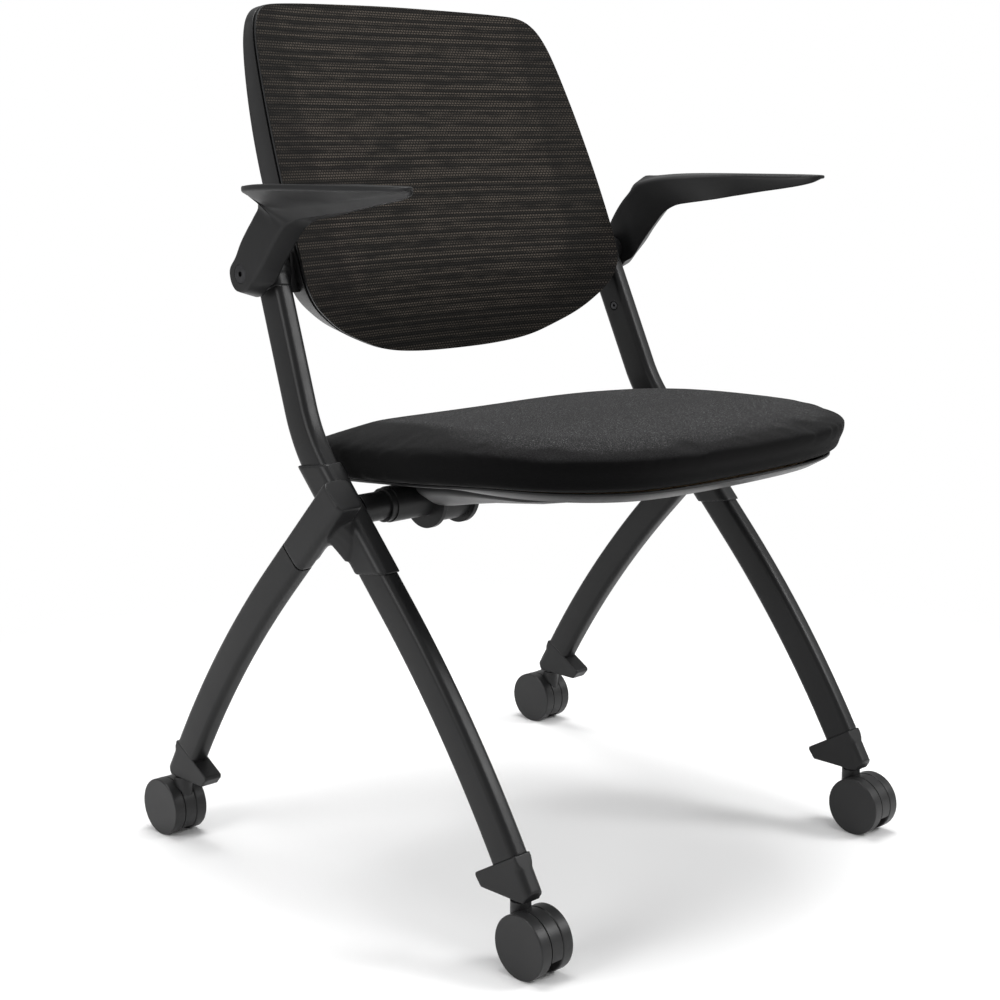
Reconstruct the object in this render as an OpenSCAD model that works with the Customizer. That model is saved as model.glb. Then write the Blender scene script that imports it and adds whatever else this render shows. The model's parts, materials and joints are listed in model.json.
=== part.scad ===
// Nesting chair: crossed-leg side frames, flip-up padded seat, mesh back, pivoting arms, twin-wheel casters.
// Millimetres. Z is up, the floor is z = 0, the chair faces -Y, and the sitter's left is +X.
// Every side piece is drawn for the +X side and mirrored for the other side.

/* [Stance] */
// Height of the cross tube axis, where the legs cross
hinge_z = 379; // [300:1:450]
// Place along Y of the cross tube axis
hinge_y = 6; // [-20:1:20]
// Half distance between the two front leg planes
front_half = 247.3; // [200:0.1:300]
// Distance across the chair from a front leg's plane to the rear leg's plane
leg_step = 29; // [24:0.1:36]
// Set of the front leg's centre line behind the cross tube's axis
front_leg_set = 2.6; // [-5:0.1:8]
// Set of the rear leg's centre line ahead of the cross tube's axis
rear_leg_set = 3.5; // [-5:0.1:8]

/* [Leg tubes] */
// Tube width across the chair
tube_w = 20; // [15:0.5:30]
// Tube depth in the plane of the side frame
tube_d = 34.5; // [25:0.5:45]
// Outer corner radius of the tube
tube_r = 6.5; // [3:0.5:9]
// Tube wall
tube_wall = 2; // [1.5:0.1:3]
// Front leg's angle from vertical in its straight stretch
front_angle = 42.5; // [35:0.5:50]
// Rear leg's angle from vertical in its straight stretch
rear_angle = 43.5; // [35:0.5:50]
// Bend radius of the front leg's lower stretch
front_bow = 1200; // [800:10:2000]
// Bend radius of the rear leg's lower stretch
rear_bow = 1150; // [800:10:2000]
// Angle that the front leg's lower stretch turns through
front_sweep = 11.8; // [8:0.1:16]
// Angle that the rear leg's lower stretch turns through
rear_sweep = 13.1; // [8:0.1:16]
// Height of the front leg's lower end over the foot's underside
front_foot_rise = 32.5; // [25:0.1:40]
// Height of the rear leg's lower end over the foot's underside
rear_foot_rise = 31.7; // [25:0.1:40]

/* [Uprights] */
// Bend radius where the front leg turns into the upright
upright_bend = 160; // [100:1:250]
// Angle that the bend turns through
upright_turn = 20.2; // [10:0.1:30]
// Length along the tube from the cross tube to the inward lean
lean_start = 47.5; // [40:0.1:55]
// Length along the tube from the lean to the bend
lean_run = 9.5; // [5:0.1:20]
// Inward lean of the upright
lean = 3.9; // [0:0.1:8]
// Straight upright tube above the bend
upright_len = 118.5; // [90:0.5:150]
// Length from the upright tube's end to the arm and back pivot
pivot_rise = 19; // [15:0.5:30]

/* [Side castings] */
// Wall of the sleeve on the front leg's flat sides
sleeve_wall = 3; // [2:0.5:5]
// Wall of the sleeve on the front leg's narrow sides
sleeve_edge = 1.6; // [1:0.1:4]
// Reach of the sleeve below the cross tube's axis
sleeve_below = 57.6; // [40:0.1:70]
// Reach of the sleeve above the cross tube's axis
sleeve_above = 46.2; // [25:0.1:55]
// Tilt of the sleeve's two ends from level
sleeve_tilt = 9; // [0:1:20]
// Reach of the rear leg's stub beyond the cross tube's height
stub_rise = 32; // [20:0.1:36]
// Reach of the stub below the cross tube's height, to the seam with the rear tube
stub_len = 60.4; // [50:0.1:90]
// Width across the chair of the stub's capped head
head_w = 30.3; // [21:0.1:34]
// Length of the stub's capped head
head_len = 34; // [20:1:45]
// Length of the stub's plug inside the rear tube
plug_len = 50; // [30:1:75]
// Spigot length inside the cross tube
spigot_len = 24; // [15:1:40]

/* [Feet and casters] */
// Height of the foot's flat underside
foot_z = 66.5; // [60:0.5:90]
// Reach of the hook measured along the seam from the leg's axis
hook_reach = 40.5; // [30:0.5:50]
// Height of the hook's nose
hook_nose = 11.4; // [8:0.1:16]
// Length of the foot down the leg's outer edge
foot_edge = 36; // [25:0.5:45]
// Set of the front caster stem forward of the leg's lower end
front_stem_set = 13.8; // [10:0.1:20]
// Set of the rear caster stem behind the leg's lower end
rear_stem_set = 19.7; // [10:0.1:22]
// Caster trail from stem axis to wheel axle
trail = 16.5; // [10:0.5:25]
// Wheel diameter
wheel_dia = 60; // [40:1:80]
// Wheel width
wheel_w = 12.4; // [8:0.1:16]
// Overall width over both wheels
caster_w = 39; // [30:0.5:50]
// Rounding of the wheel's rims
wheel_edge = 1.4; // [0.5:0.1:3]
// Wheel axle diameter
axle_dia = 8; // [6:0.5:10]
// Stem diameter
stem_dia = 10; // [8:0.5:12]
// Depth of stem in the foot
stem_hold = 20; // [12:1:26]

/* [Seat hinge] */
// Cross tube diameter
cross_dia = 28; // [22:0.5:35]
// Cross tube wall
cross_wall = 2; // [1.5:0.1:3]
// Inset of the stop rings' outer faces from the seat's widest edge
ring_inset = 32; // [25:0.5:60]
// Stop ring width
ring_w = 6; // [4:0.5:10]
// Stop ring diameter
ring_dia = 33; // [30:0.5:40]
// Length across the chair of each hinge housing's block
housing_len = 47; // [40:1:80]
// Length of its sleeve between the block and the stop ring
housing_sleeve_len = 46.7; // [20:1:60]
// Hinge housing sleeve diameter
housing_sleeve_dia = 35; // [33:0.5:40]
// Hinge housing body diameter
housing_body_dia = 50; // [40:1:56]
// Hinge housing ear diameter
housing_ear_dia = 60; // [50:1:66]
// Hinge housing ear thickness
housing_ear_t = 5; // [3:0.5:8]
// Hinge housing depth along Y where it meets the seat pan
housing_foot_d = 44; // [30:1:56]

/* [Seat] */
// Reach of the cushion forward of the cross tube's axis
seat_fore = 300; // [260:1:330]
// Reach of the cushion behind the cross tube's axis
seat_aft = 151; // [130:1:170]
// Gap between the cushion's widest edge and the front leg's inner face
seat_gap = 2.3; // [1.5:0.1:15]
// Height of the cushion's side wall
side_h = 30; // [20:1:40]
// Height of the side wall's top edge above the cross tube's axis, at the front
seam_rise = 72; // [65:0.5:80]
// Height of the crown above that edge
crown_rise = 10; // [5:0.5:20]
// Fall of the side wall towards the rear, in millimetres per millimetre
seam_slope = 0.107; // [0:0.001:0.15]
// Fall of the crown towards the rear, in millimetres per millimetre
crown_slope = 0.13; // [0:0.001:0.16]
// Place where the side wall starts to fall, forward of the cross tube's axis
seam_turn = 156; // [100:1:200]
// Place where the crown starts to fall, forward of the cross tube's axis
crown_turn = 40; // [20:1:120]
// Dip of the crown towards the middle of the rear edge
rear_dish = 4; // [0:0.5:10]
// Height of the seat pan's floor above the cross tube's axis
pan_rise = 30; // [28:0.5:34]
// Seat pan thickness
pan_t = 3; // [2:0.1:5]
// Inset of the pan's flat floor from the cushion's outline
pan_inset = 30; // [22:1:40]
// Inset of the pan's rim from the cushion's outline
rim_inset = 16; // [15:0.5:20]
// Seat board thickness
board_t = 8; // [6:0.5:8]
// Inset of the hinge cover under the pan from the seat's widest edge
cover_inset = 45; // [36:1:60]
// Depth of the hinge cover under the pan's floor
cover_depth = 33; // [25:1:40]
// Narrowing of the hinge cover towards its lower edge
cover_taper = 28; // [10:1:40]
// Drop from the pan's floor to where that narrowing starts
cover_side = 14; // [5:1:25]
// Set of the hinge cover's front behind the cushion's front edge
cover_set = 50; // [40:1:80]

/* [Back] */
// Reach of the mesh below the pivot
back_below = 91.3; // [60:0.1:120]
// Reach of the mesh above the pivot
back_above = 262.7; // [200:0.1:340]
// Gap between the mesh's widest edge and the outer face of the back's hub
back_gap = 1.3; // [0:0.1:10]
// Set of the mesh's lower part ahead of the pivot, on the centre line
back_set = 10.5; // [0:0.1:30]
// Rearward slope of the upper back
back_slope = 0.4; // [0.2:0.01:0.6]
// Drop from the pivot to where the back starts to slope rearward
back_bend_drop = 10.3; // [0:0.1:40]
// Softness of that bend
back_bend_w = 20; // [5:1:60]
// Radius of the back's curve across the chair
back_curve = 800; // [500:10:2000]
// Depth of the back shell's rim
shell_depth = 30; // [15:1:40]
// Width of the shell's border behind the mesh
shell_border = 45; // [25:1:60]
// Depth of the mesh carrier's rim
carrier_w = 3; // [2:0.1:5]
// Width of the groove between carrier and shell
groove_w = 3; // [2:0.1:5]
// Thickness of the shell's outer lip
lip_t = 2.5; // [1.5:0.1:4]
// Mesh thickness
mesh_t = 1; // [0.6:0.1:2]

/* [Arms] */
// Thickness of the washer between arm and knuckle
washer_t = 2.8; // [1.5:0.1:6]
// Thickness of the arm's lower end
arm_t = 20; // [14:0.5:26]
// Radius of the arm's lower end round its bolt
arm_end_r = 17.5; // [14:0.5:22]
// Reach of the arm forward of its bolt
arm_reach = 263.7; // [240:1:300]
// Height of the arm's top above its bolt
arm_rise = 88.2; // [75:0.1:110]
// Outward set of the arm's front tip
arm_splay = 23.2; // [0:0.1:40]
// Width of the arm's blade
blade_w = 46; // [35:1:60]
// Thickness of the blade's edge
blade_t = 5.5; // [3:0.5:8]
// Arm bolt diameter
bolt_dia = 10; // [8:0.5:12]
// Arm bolt head diameter
bolt_head_dia = 17.4; // [14:0.1:20]
// Arm bolt head height
bolt_head_h = 4.5; // [3:0.5:7]
// Corner to corner size of the hex socket in the arm bolt
bolt_hex_dia = 5.8; // [4:0.1:8]

/* [Hidden] */

// Facets of round shapes
$fn = 64;
// Overrun of every cut
over = 1;
// Gap between two pieces that are fixed together
snug = 0.15;
// Radial running clearance of a pivot
run = 0.05;
// Gap between faces that move past each other, and round soft pieces
slip = 0.3;

// Turn that carries a cut past the end of a bent leg
end_turn = 0.1;
// Stretches that the front leg's bow and the upright's bend are made in
bow_steps = 8;
bend_steps = 8;

// Tube inner sizes
bore_w = tube_w - 2 * tube_wall;
bore_d = tube_d - 2 * tube_wall;
bore_r = tube_r - tube_wall;

// Places that follow from the stance
rear_half = front_half + leg_step;
front_leg_y = hinge_y + front_leg_set;
rear_leg_y = hinge_y - rear_leg_set;

// Arm and back pivot, worked out along the leaning upright
pivot_run = upright_len + pivot_rise;
pivot_a = lean_run + upright_bend * sin(upright_turn) + pivot_run * cos(upright_turn);
pivot_b = upright_bend * (1 - cos(upright_turn)) + pivot_run * sin(upright_turn);
pivot_s = lean_start + pivot_a * cos(lean);
pivot_y = front_leg_y + pivot_s * sin(front_angle) - pivot_b * cos(front_angle);
pivot_z = hinge_z + pivot_s * cos(front_angle) + pivot_b * sin(front_angle);
pivot_x = front_half - pivot_a * sin(lean);

// Seam centres where the legs meet the feet, and the straight stretch that brings each leg down to them
front_seam_angle = front_angle - front_sweep;
rear_seam_angle = rear_angle - rear_sweep;
front_seam_z = foot_z + front_foot_rise;
rear_seam_z = foot_z + rear_foot_rise;
front_bow_fall = front_bow * (sin(front_angle) - sin(front_seam_angle));
rear_bow_fall = rear_bow * (sin(rear_angle) - sin(rear_seam_angle));
front_bow_reach = front_bow * (cos(front_seam_angle) - cos(front_angle));
rear_bow_reach = rear_bow * (cos(rear_seam_angle) - cos(rear_angle));
front_straight = (hinge_z - front_seam_z - front_bow_fall) / cos(front_angle);
rear_straight = (hinge_z - rear_seam_z - rear_bow_fall) / cos(rear_angle);
front_seam_y = front_leg_y - front_straight * sin(front_angle) - front_bow_reach;
rear_seam_y = rear_leg_y + rear_straight * sin(rear_angle) + rear_bow_reach;
front_stem_y = front_seam_y - front_stem_set;
rear_stem_y = rear_seam_y + rear_stem_set;

// Seat places that follow from the side frames
seat_half = front_half - tube_w / 2 - seat_gap;
seat_depth = seat_fore + seat_aft;
seat_front_y = hinge_y - seat_fore;
pan_low_z = hinge_z + pan_rise;
board_top_z = pan_low_z + pan_t + board_t;
ring_x = seat_half - ring_inset;
housing_out_x = ring_x - ring_w - slip;
housing_ear_x = housing_out_x - housing_sleeve_len;
housing_in_x = housing_ear_x - housing_len;

// Hinge cover places: it stops just ahead of the housings' ears
cover_half = seat_half - cover_inset;
cover_front_y = seat_front_y + cover_set;
cover_rear_y = hinge_y - housing_ear_dia / 2 - pan_t;
cover_len = cover_rear_y - cover_front_y;
cover_lap = pan_t / 2;

// Seat board and its screws: two ahead of the housings and two behind them
board_gap = 8;
board_screw_dia = 5;
board_head_dia = 9;
board_screw_inset = 90;
board_screw_x = seat_half - board_screw_inset;
board_screw_places = [
    for (s = [-1, 1], y = [cover_front_y + cover_len / 3, hinge_y + (seat_aft + housing_ear_dia) * 0.4])
        [s * board_screw_x, y]
];

// Knuckle sizes: plug in the upright, round head on the pivot
knuckle_dia = 37;
knuckle_w = 21;
knuckle_plug = 60;
boss_dia = 32;
boss_w = 4.6;
screw_drop = 46;
screw_dia = 6;
screw_head_dia = 8.5;
screw_head_h = 2.6;
screw_len = 12;

// Back hub and its rubber bush on the pivot bolt
hub_dia = 41;
hub_w = 19;
bush_dia = 24;
bush_w = 13;
hub_out_x = pivot_x - knuckle_w / 2 - slip;
hub_in_x = hub_out_x - hub_w;
back_half = hub_out_x - back_gap;

// Back places that follow from the pivot
back_low_z = pivot_z - back_below;
back_y = pivot_y - back_set;
back_bend_z = pivot_z - back_bend_drop;

// Places of the back's layers behind the mesh's front: the carrier, the shell's tongue and the shell.
// Curved faces of fixed pieces stay slip apart
carrier_front = mesh_t + slip;
carrier_back = carrier_front + carrier_w;
tongue_front = carrier_back + slip;
tongue_in = groove_w + lip_t;
shell_front = carrier_back + groove_w;

// Arm's faces, from the knuckle outward
arm_in_x = pivot_x + knuckle_w / 2 + boss_w + washer_t;
arm_face_x = arm_in_x + arm_t;

// Colours
frame_colour = [0.11, 0.11, 0.115];
plastic_colour = [0.09, 0.09, 0.095];
wheel_colour = [0.13, 0.13, 0.135];
mesh_colour = [0.16, 0.14, 0.13];
fabric_colour = [0.07, 0.07, 0.075];
steel_colour = [0.55, 0.56, 0.58];
board_colour = [0.55, 0.43, 0.3];

// Mirrors a +X side piece to the side that s names
module on_side(s) {
    if (s > 0)
        children();
    else
        mirror([1, 0, 0])
            children();
}

// Puts a drawing of the side plane at distance x: its own x runs along Y, its y along Z and its z along X
module side_plane(x) {
    translate([x, 0, 0])
        rotate([90, 0, 90])
            children();
}

// Rounded rectangle a by b with corner radius r, on its centre
module rounded(a, b, r) {
    square([a - 2 * r, b], center = true);
    square([a, b - 2 * r], center = true);
    for (i = [-1, 1], j = [-1, 1])
        translate([i * (a / 2 - r), j * (b / 2 - r)])
            circle(r);
}

// Points of a rounded rectangle a by b with corner radius r
function corners(a, b, r) =
    [for (q = [0 : 3], t = [0 : 15 : 90])
        let(
            i = q == 0 || q == 3 ? 1 : -1,
            j = q < 2 ? 1 : -1
        )
        [i * (a / 2 - r) + r * cos(90 * q + t), j * (b / 2 - r) + r * sin(90 * q + t)]];

// Straight stretch along x: depth d in the plane and width w across it
module run_x(len, d, w, r) {
    rotate([0, 90, 0])
        linear_extrude(len)
            polygon(corners(w, d, r));
}

// Bent stretch of radius bend and angle turn that starts at angle 0: depth d in the plane and width w across it
module run_bend(bend, turn, d, w, r) {
    rotate_extrude(angle = turn, $fn = 240)
        translate([bend, 0])
            polygon(corners(d, w, r));
}

// Cylinder of diameter dia along X from x0 to x1
module rod_x(dia, x0, x1) {
    translate([x0, 0, 0])
        rotate([0, 90, 0])
            cylinder(d = dia, h = x1 - x0);
}

// Frame of the front leg: x runs up along its straight stretch from the cross tube's height
module front_leg_frame() {
    side_plane(front_half)
        translate([front_leg_y, hinge_z])
            rotate([0, 0, 90 - front_angle])
                children();
}

// Frame of the rear leg: x runs down along its straight stretch from the cross tube's height
module rear_leg_frame() {
    side_plane(rear_half)
        translate([rear_leg_y, hinge_z])
            rotate([0, 0, rear_angle - 90])
                children();
}

// Frame at the upright's foot, just above the bend: x runs up along the leaning upright
module upright_frame() {
    front_leg_frame()
        translate([lean_start, 0, 0])
            rotate([0, lean, 0])
                translate([lean_run, upright_bend, 0])
                    rotate([0, 0, upright_turn])
                        translate([0, -upright_bend, 0])
                            children();
}

// Point of the front leg's frame: a up along the straight stretch, b across it in the side plane, c outward
function front_point(a, b, c) = [
    front_half + c,
    front_leg_y + a * sin(front_angle) - b * cos(front_angle),
    hinge_z + a * cos(front_angle) + b * sin(front_angle)
];

// Point of the leaning stretch, whose own frame is turned inward by the lean
function lean_point(a, b, c) =
    front_point(lean_start + a * cos(lean) + c * sin(lean), b, c * cos(lean) - a * sin(lean));

// Rings of a section p along the front leg: lower bow, straight, mitre, bend and upright
function main_rings(p) = concat(
    [for (t = [0 : bow_steps])
        let(g = front_sweep * (1 - t / bow_steps))
        [for (q = p)
            let(r = front_bow + q[0])
            front_point(-front_straight - r * sin(g), r * cos(g) - front_bow, q[1])]],
    [[for (q = p) front_point(lean_start + q[1] * tan(lean / 2), q[0], q[1])]],
    [for (t = [0 : bend_steps])
        let(g = upright_turn * t / bend_steps)
        [for (q = p)
            let(r = upright_bend - q[0])
            lean_point(lean_run + r * sin(g), upright_bend - r * cos(g), q[1])]],
    [[for (q = p)
        let(r = upright_bend - q[0])
        lean_point(
            lean_run + r * sin(upright_turn) + upright_len * cos(upright_turn),
            upright_bend - r * cos(upright_turn) + upright_len * sin(upright_turn),
            q[1]
        )]]
);

// Tube wall between outer rings and inner rings of equal counts
module tube_skin(outer, inner) {
    n = len(outer[0]);
    m = len(outer);
    k = m * n;
    points = concat([for (r = outer) each r], [for (r = inner) each r]);
    faces = concat(
        [for (j = [0 : m - 2], i = [0 : n - 1])
            [j * n + i, (j + 1) * n + i, (j + 1) * n + (i + 1) % n, j * n + (i + 1) % n]],
        [for (j = [0 : m - 2], i = [0 : n - 1])
            [k + j * n + (i + 1) % n, k + (j + 1) * n + (i + 1) % n, k + (j + 1) * n + i, k + j * n + i]],
        [for (i = [0 : n - 1]) [i, (i + 1) % n, k + (i + 1) % n, k + i]],
        [for (i = [0 : n - 1]) [k - n + (i + 1) % n, k - n + i, 2 * k - n + i, 2 * k - n + (i + 1) % n]]
    );
    polyhedron(points, faces, convexity = 6);
}

module main_tube(s) {
    color(frame_colour)
        on_side(s)
            difference() {
                tube_skin(main_rings(corners(tube_d, tube_w, tube_r)), main_rings(corners(bore_d, bore_w, bore_r)));
                upright_frame()
                    translate([upright_len - screw_drop, 0, -tube_w])
                        cylinder(d = screw_head_dia + 2 * snug, h = tube_w);
            }
}

module rear_leg(s) {
    color(frame_colour)
        on_side(s)
            difference() {
                rear_run(tube_d, tube_w, tube_r, 0);
                rear_run(bore_d, bore_w, bore_r, over);
            }
}

// Rear leg as one run of the section d by w, grown by more at its ends
module rear_run(d, w, r, more) {
    turn = rear_sweep + (more > 0 ? end_turn : 0);
    rear_leg_frame() {
        translate([stub_len + snug - more, 0, 0])
            run_x(rear_straight - stub_len - snug + more, d, w, r);
        translate([rear_straight, -rear_bow, 0])
            rotate([0, 0, 90 - turn])
                run_bend(rear_bow, turn, d, w, r);
    }
}

// Sleeve sizes
sleeve_w = tube_w + 2 * sleeve_wall;
sleeve_d = tube_d + 2 * sleeve_edge;
sleeve_r = tube_r + sleeve_wall / 2;
sleeve_run = 2 * (sleeve_below + sleeve_above);
spigot_dia = cross_dia - 2 * cross_wall - 2 * snug;
sleeve_in_x = front_half - sleeve_w / 2;

// Web between the two legs in the side plane, as shares of the sleeve's depth from the cross tube's axis:
// its lower edge is the arch between the legs
web_shares = [
    [-0.32, -0.95], [-0.07, -0.77], [0.07, -0.79], [0.22, -0.87], [0.45, -1.06], [0.7, -1.28], [0.8, -1.2],
    [0.3, 0.1], [-0.5, 0.65], [-0.8, 0]
];

module side_casting(s) {
    color(frame_colour)
        on_side(s)
            difference() {
                union() {
                    intersection() {
                        front_leg_frame()
                            translate([-sleeve_run / 2, 0, 0])
                                run_x(sleeve_run, sleeve_d, sleeve_w, sleeve_r);
                        translate([sleeve_in_x - over, hinge_y, hinge_z])
                            rotate([-sleeve_tilt, 0, 0])
                                translate([0, -sleeve_run, -sleeve_below])
                                    cube([sleeve_w + 2 * over, 2 * sleeve_run, sleeve_below + sleeve_above]);
                    }
                    rear_leg_frame() {
                        translate([-stub_rise, 0, 0])
                            run_x(stub_rise + stub_len, tube_d, tube_w, tube_r);
                        translate([-stub_rise, 0, (tube_w - head_w) / 2])
                            run_x(head_len, tube_d, head_w, tube_r);
                        translate([stub_len - over, 0, 0])
                            run_x(plug_len + over, bore_d - 2 * snug, bore_w - 2 * snug, bore_r - snug);
                    }
                    // The web stays short of the seam
                    side_plane(front_half)
                        translate([hinge_y, hinge_z])
                            linear_extrude(leg_step)
                                polygon([for (p = web_shares) p * sleeve_d]);
                    translate([0, hinge_y, hinge_z])
                        rod_x(spigot_dia, sleeve_in_x - spigot_len, front_half);
                }
                front_leg_frame() {
                    translate([-sleeve_run, 0, 0])
                        run_x(sleeve_run + lean_start + over, tube_d + 2 * snug, tube_w + 2 * snug, tube_r + snug);
                    translate([lean_start, 0, 0])
                        rotate([0, lean, 0])
                            run_x(sleeve_d, tube_d + 4 * snug, tube_w + 4 * snug, tube_r + 2 * snug);
                }
            }
}

module top_knuckle(s) {
    color(frame_colour)
        on_side(s)
            difference() {
                union() {
                    upright_frame() {
                        translate([upright_len + snug, 0, 0])
                            run_x(pivot_rise - snug, tube_d, tube_w, tube_r);
                        translate([upright_len - knuckle_plug, 0, 0])
                            run_x(knuckle_plug + over, bore_d - 2 * snug, bore_w - 2 * snug, bore_r - snug);
                    }
                    translate([0, pivot_y, pivot_z]) {
                        rod_x(knuckle_dia, pivot_x - knuckle_w / 2, pivot_x + knuckle_w / 2);
                        rod_x(boss_dia, pivot_x, pivot_x + knuckle_w / 2 + boss_w);
                    }
                }
                translate([0, pivot_y, pivot_z])
                    rod_x(bolt_dia + 2 * run, pivot_x - knuckle_w, pivot_x + knuckle_w);
                upright_frame()
                    translate([upright_len - screw_drop, 0, -tube_w / 2 - over])
                        cylinder(d = screw_dia, h = screw_len + over);
            }
}

module upright_screws() {
    color(steel_colour)
        for (s = [-1, 1])
            on_side(s)
                upright_frame()
                    translate([upright_len - screw_drop, 0, 0])
                        difference() {
                            union() {
                                translate([0, 0, -tube_w / 2 + screw_head_h - screw_head_h / 2])
                                    mirror([0, 0, 1])
                                        cylinder(d = screw_head_dia, h = screw_head_h / 2);
                                translate([0, 0, -tube_w / 2])
                                    cylinder(d = screw_head_dia, h = tube_wall);
                                translate([0, 0, -tube_w / 2])
                                    cylinder(d = screw_dia - 2 * run, h = screw_len - snug);
                            }
                            translate([0, 0, -tube_w / 2 - over])
                                cylinder(d = screw_head_dia / 2.4, h = over + tube_wall, $fn = 6);
                        }
}

// Foot outline in the seam's frame: x down the leg, y towards the hook, and the flat underside at drop
function foot_points(a, drop) =
    let(
        half = tube_d / 2,
        low_out = [-half * 1.57, -drop],
        edge = [-half * cos(a) - foot_edge * sin(a), half * sin(a) - foot_edge * cos(a)],
        tip = [hook_reach * cos(a), -hook_reach * sin(a)]
    )
    [
        [-half * cos(a), half * sin(a)],
        edge,
        low_out,
        [tip[0] - hook_nose * 0.62, -drop],
        [tip[0], tip[1] - hook_nose * 0.28],
        tip
    ];

// Foot casting on a leg whose seam is at (y, z), with the hook towards side h
module foot(half, y, z, a, h, stem_y) {
    drop = z - foot_z;
    difference() {
        union() {
            intersection() {
                side_plane(half - tube_w)
                    translate([y, z])
                        mirror([h > 0 ? 0 : 1, 0, 0])
                            linear_extrude(2 * tube_w)
                                polygon(foot_points(a, drop));
                side_plane(half)
                    translate([y, z])
                        mirror([h > 0 ? 0 : 1, 0, 0])
                            rotate([0, 0, -90 - a])
                                run_x(2 * foot_edge, tube_d, tube_w, tube_r);
            }
            intersection() {
                side_plane(half - tube_w)
                    translate([y, z])
                        mirror([h > 0 ? 0 : 1, 0, 0])
                            linear_extrude(2 * tube_w)
                                polygon(foot_points(a, drop));
                translate([half, y + h * hook_reach / 3, foot_z - over])
                    linear_extrude(2 * foot_edge)
                        rounded(tube_w, hook_reach * 1.75, tube_r);
            }
            side_plane(half)
                translate([y, z])
                    mirror([h > 0 ? 0 : 1, 0, 0])
                        rotate([0, 0, 90 - a])
                            translate([-over, 0, 0])
                                run_x(tube_w + over, bore_d - 4 * snug, bore_w - 2 * snug, bore_r - snug);
        }
        translate([half, stem_y, foot_z - over])
            cylinder(d = stem_dia, h = stem_hold + over);
    }
}

module front_foot(s) {
    color(frame_colour)
        on_side(s)
            foot(front_half, front_seam_y, front_seam_z, front_seam_angle, 1, front_stem_y);
}

module rear_foot(s) {
    color(frame_colour)
        on_side(s)
            foot(rear_half, rear_seam_y, rear_seam_z, rear_seam_angle, -1, rear_stem_y);
}

// Caster sizes that follow from the wheel
wheel_r = wheel_dia / 2;
hood_w = caster_w - 2 * wheel_w - 4 * slip;
hood_r = wheel_r - slip;
neck_dia = 19;
collar_dia = 15;
collar_t = 1.8;
hood_top_z = foot_z - collar_t - slip;
stem_low_z = wheel_r + axle_dia / 2 + 2;

// Places children at a caster: half is its side plane, y its stem, and t the way its wheels trail
module caster_frame(half, y, t) {
    translate([half, y, 0])
        mirror([0, t > 0 ? 0 : 1, 0])
            children();
}

module stem() {
    color(steel_colour) {
        translate([0, 0, stem_low_z])
            cylinder(d = stem_dia, h = foot_z + stem_hold - stem_low_z);
        translate([0, 0, foot_z - collar_t])
            cylinder(d = collar_dia, h = collar_t);
    }
}

module hood() {
    color(wheel_colour)
        difference() {
            union() {
                translate([0, trail, wheel_r])
                    rod_x(2 * hood_r, -hood_w / 2, hood_w / 2);
                translate([0, 0, wheel_r])
                    cylinder(d = neck_dia, h = hood_top_z - wheel_r);
            }
            // The lower trailing quarter is open between the wheels
            translate([-hood_w, trail + axle_dia, -over])
                cube([2 * hood_w, wheel_dia, wheel_r - axle_dia]);
            translate([-hood_w, -wheel_dia, -over])
                cube([2 * hood_w, 2 * wheel_dia, wheel_r / 3]);
            // The neck stays inside the hood's width between the wheels
            for (i = [-1, 1])
                translate([i * (hood_w / 2 + wheel_w + slip), trail, wheel_r])
                    rod_x(wheel_dia + 3 * slip, -wheel_w - slip, wheel_w + slip);
            translate([0, 0, stem_low_z - slip])
                cylinder(d = stem_dia + 2 * run, h = foot_z);
            translate([0, trail, wheel_r])
                rod_x(axle_dia, -hood_w, hood_w);
        }
}

module axle() {
    color(steel_colour)
        translate([0, trail, wheel_r])
            rod_x(axle_dia, -caster_w / 2 + wheel_cap + slip, caster_w / 2 - wheel_cap - slip);
}

// Thickness of the wheel's closed outer face
wheel_cap = 2.5;

// Wheel on side i of its caster
module wheel(i) {
    color(wheel_colour)
        translate([0, trail, wheel_r])
            mirror([i > 0 ? 0 : 1, 0, 0])
                translate([caster_w / 2 - wheel_w, 0, 0])
                    rotate([0, 90, 0])
                        difference() {
                            rotate_extrude($fn = 96)
                                polygon(concat(
                                    [[0, 0], [wheel_r - wheel_edge, 0]],
                                    [for (a = [-90 : 22.5 : 0])
                                        [wheel_r - wheel_edge + wheel_edge * cos(a), wheel_edge + wheel_edge * sin(a)]],
                                    [for (a = [0 : 22.5 : 90])
                                        [wheel_r - wheel_edge + wheel_edge * cos(a), wheel_w - wheel_edge + wheel_edge * sin(a)]],
                                    [[0, wheel_w]]
                                ));
                            translate([0, 0, -over])
                                cylinder(d = axle_dia + 2 * run, h = wheel_w - wheel_cap + over);
                        }
}

module front_caster(s) {
    on_side(s)
        caster_frame(front_half, front_stem_y, -1)
            children();
}

module rear_caster(s) {
    on_side(s)
        caster_frame(rear_half, rear_stem_y, 1)
            children();
}

module cross_tube() {
    color(frame_colour)
        translate([0, hinge_y, hinge_z])
            difference() {
                rod_x(cross_dia, -sleeve_in_x, sleeve_in_x);
                rod_x(cross_dia - 2 * cross_wall, -sleeve_in_x - over, sleeve_in_x + over);
            }
}

module stop_rings() {
    color(plastic_colour)
        for (s = [-1, 1])
            on_side(s)
                translate([0, hinge_y, hinge_z])
                    difference() {
                        rod_x(ring_dia, ring_x - ring_w, ring_x);
                        rod_x(cross_dia, ring_x - ring_w - over, ring_x + over);
                    }
}

// Hinge housing: turns on the cross tube and carries the seat pan
housing_screw_dia = 5;
housing_screw_y = 15;
housing_screw_x = housing_ear_x - housing_len / 2;
housing_screw_step = housing_len / 2 - 2 * housing_ear_t;
housing_screw_low_z = pan_low_z - 2 * housing_screw_dia;
housing_screw_places = [
    for (s = [-1, 1], x = [-1, 1], y = [-1, 1])
        [s * (housing_screw_x + x * housing_screw_step), hinge_y + y * housing_screw_y]
];

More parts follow.
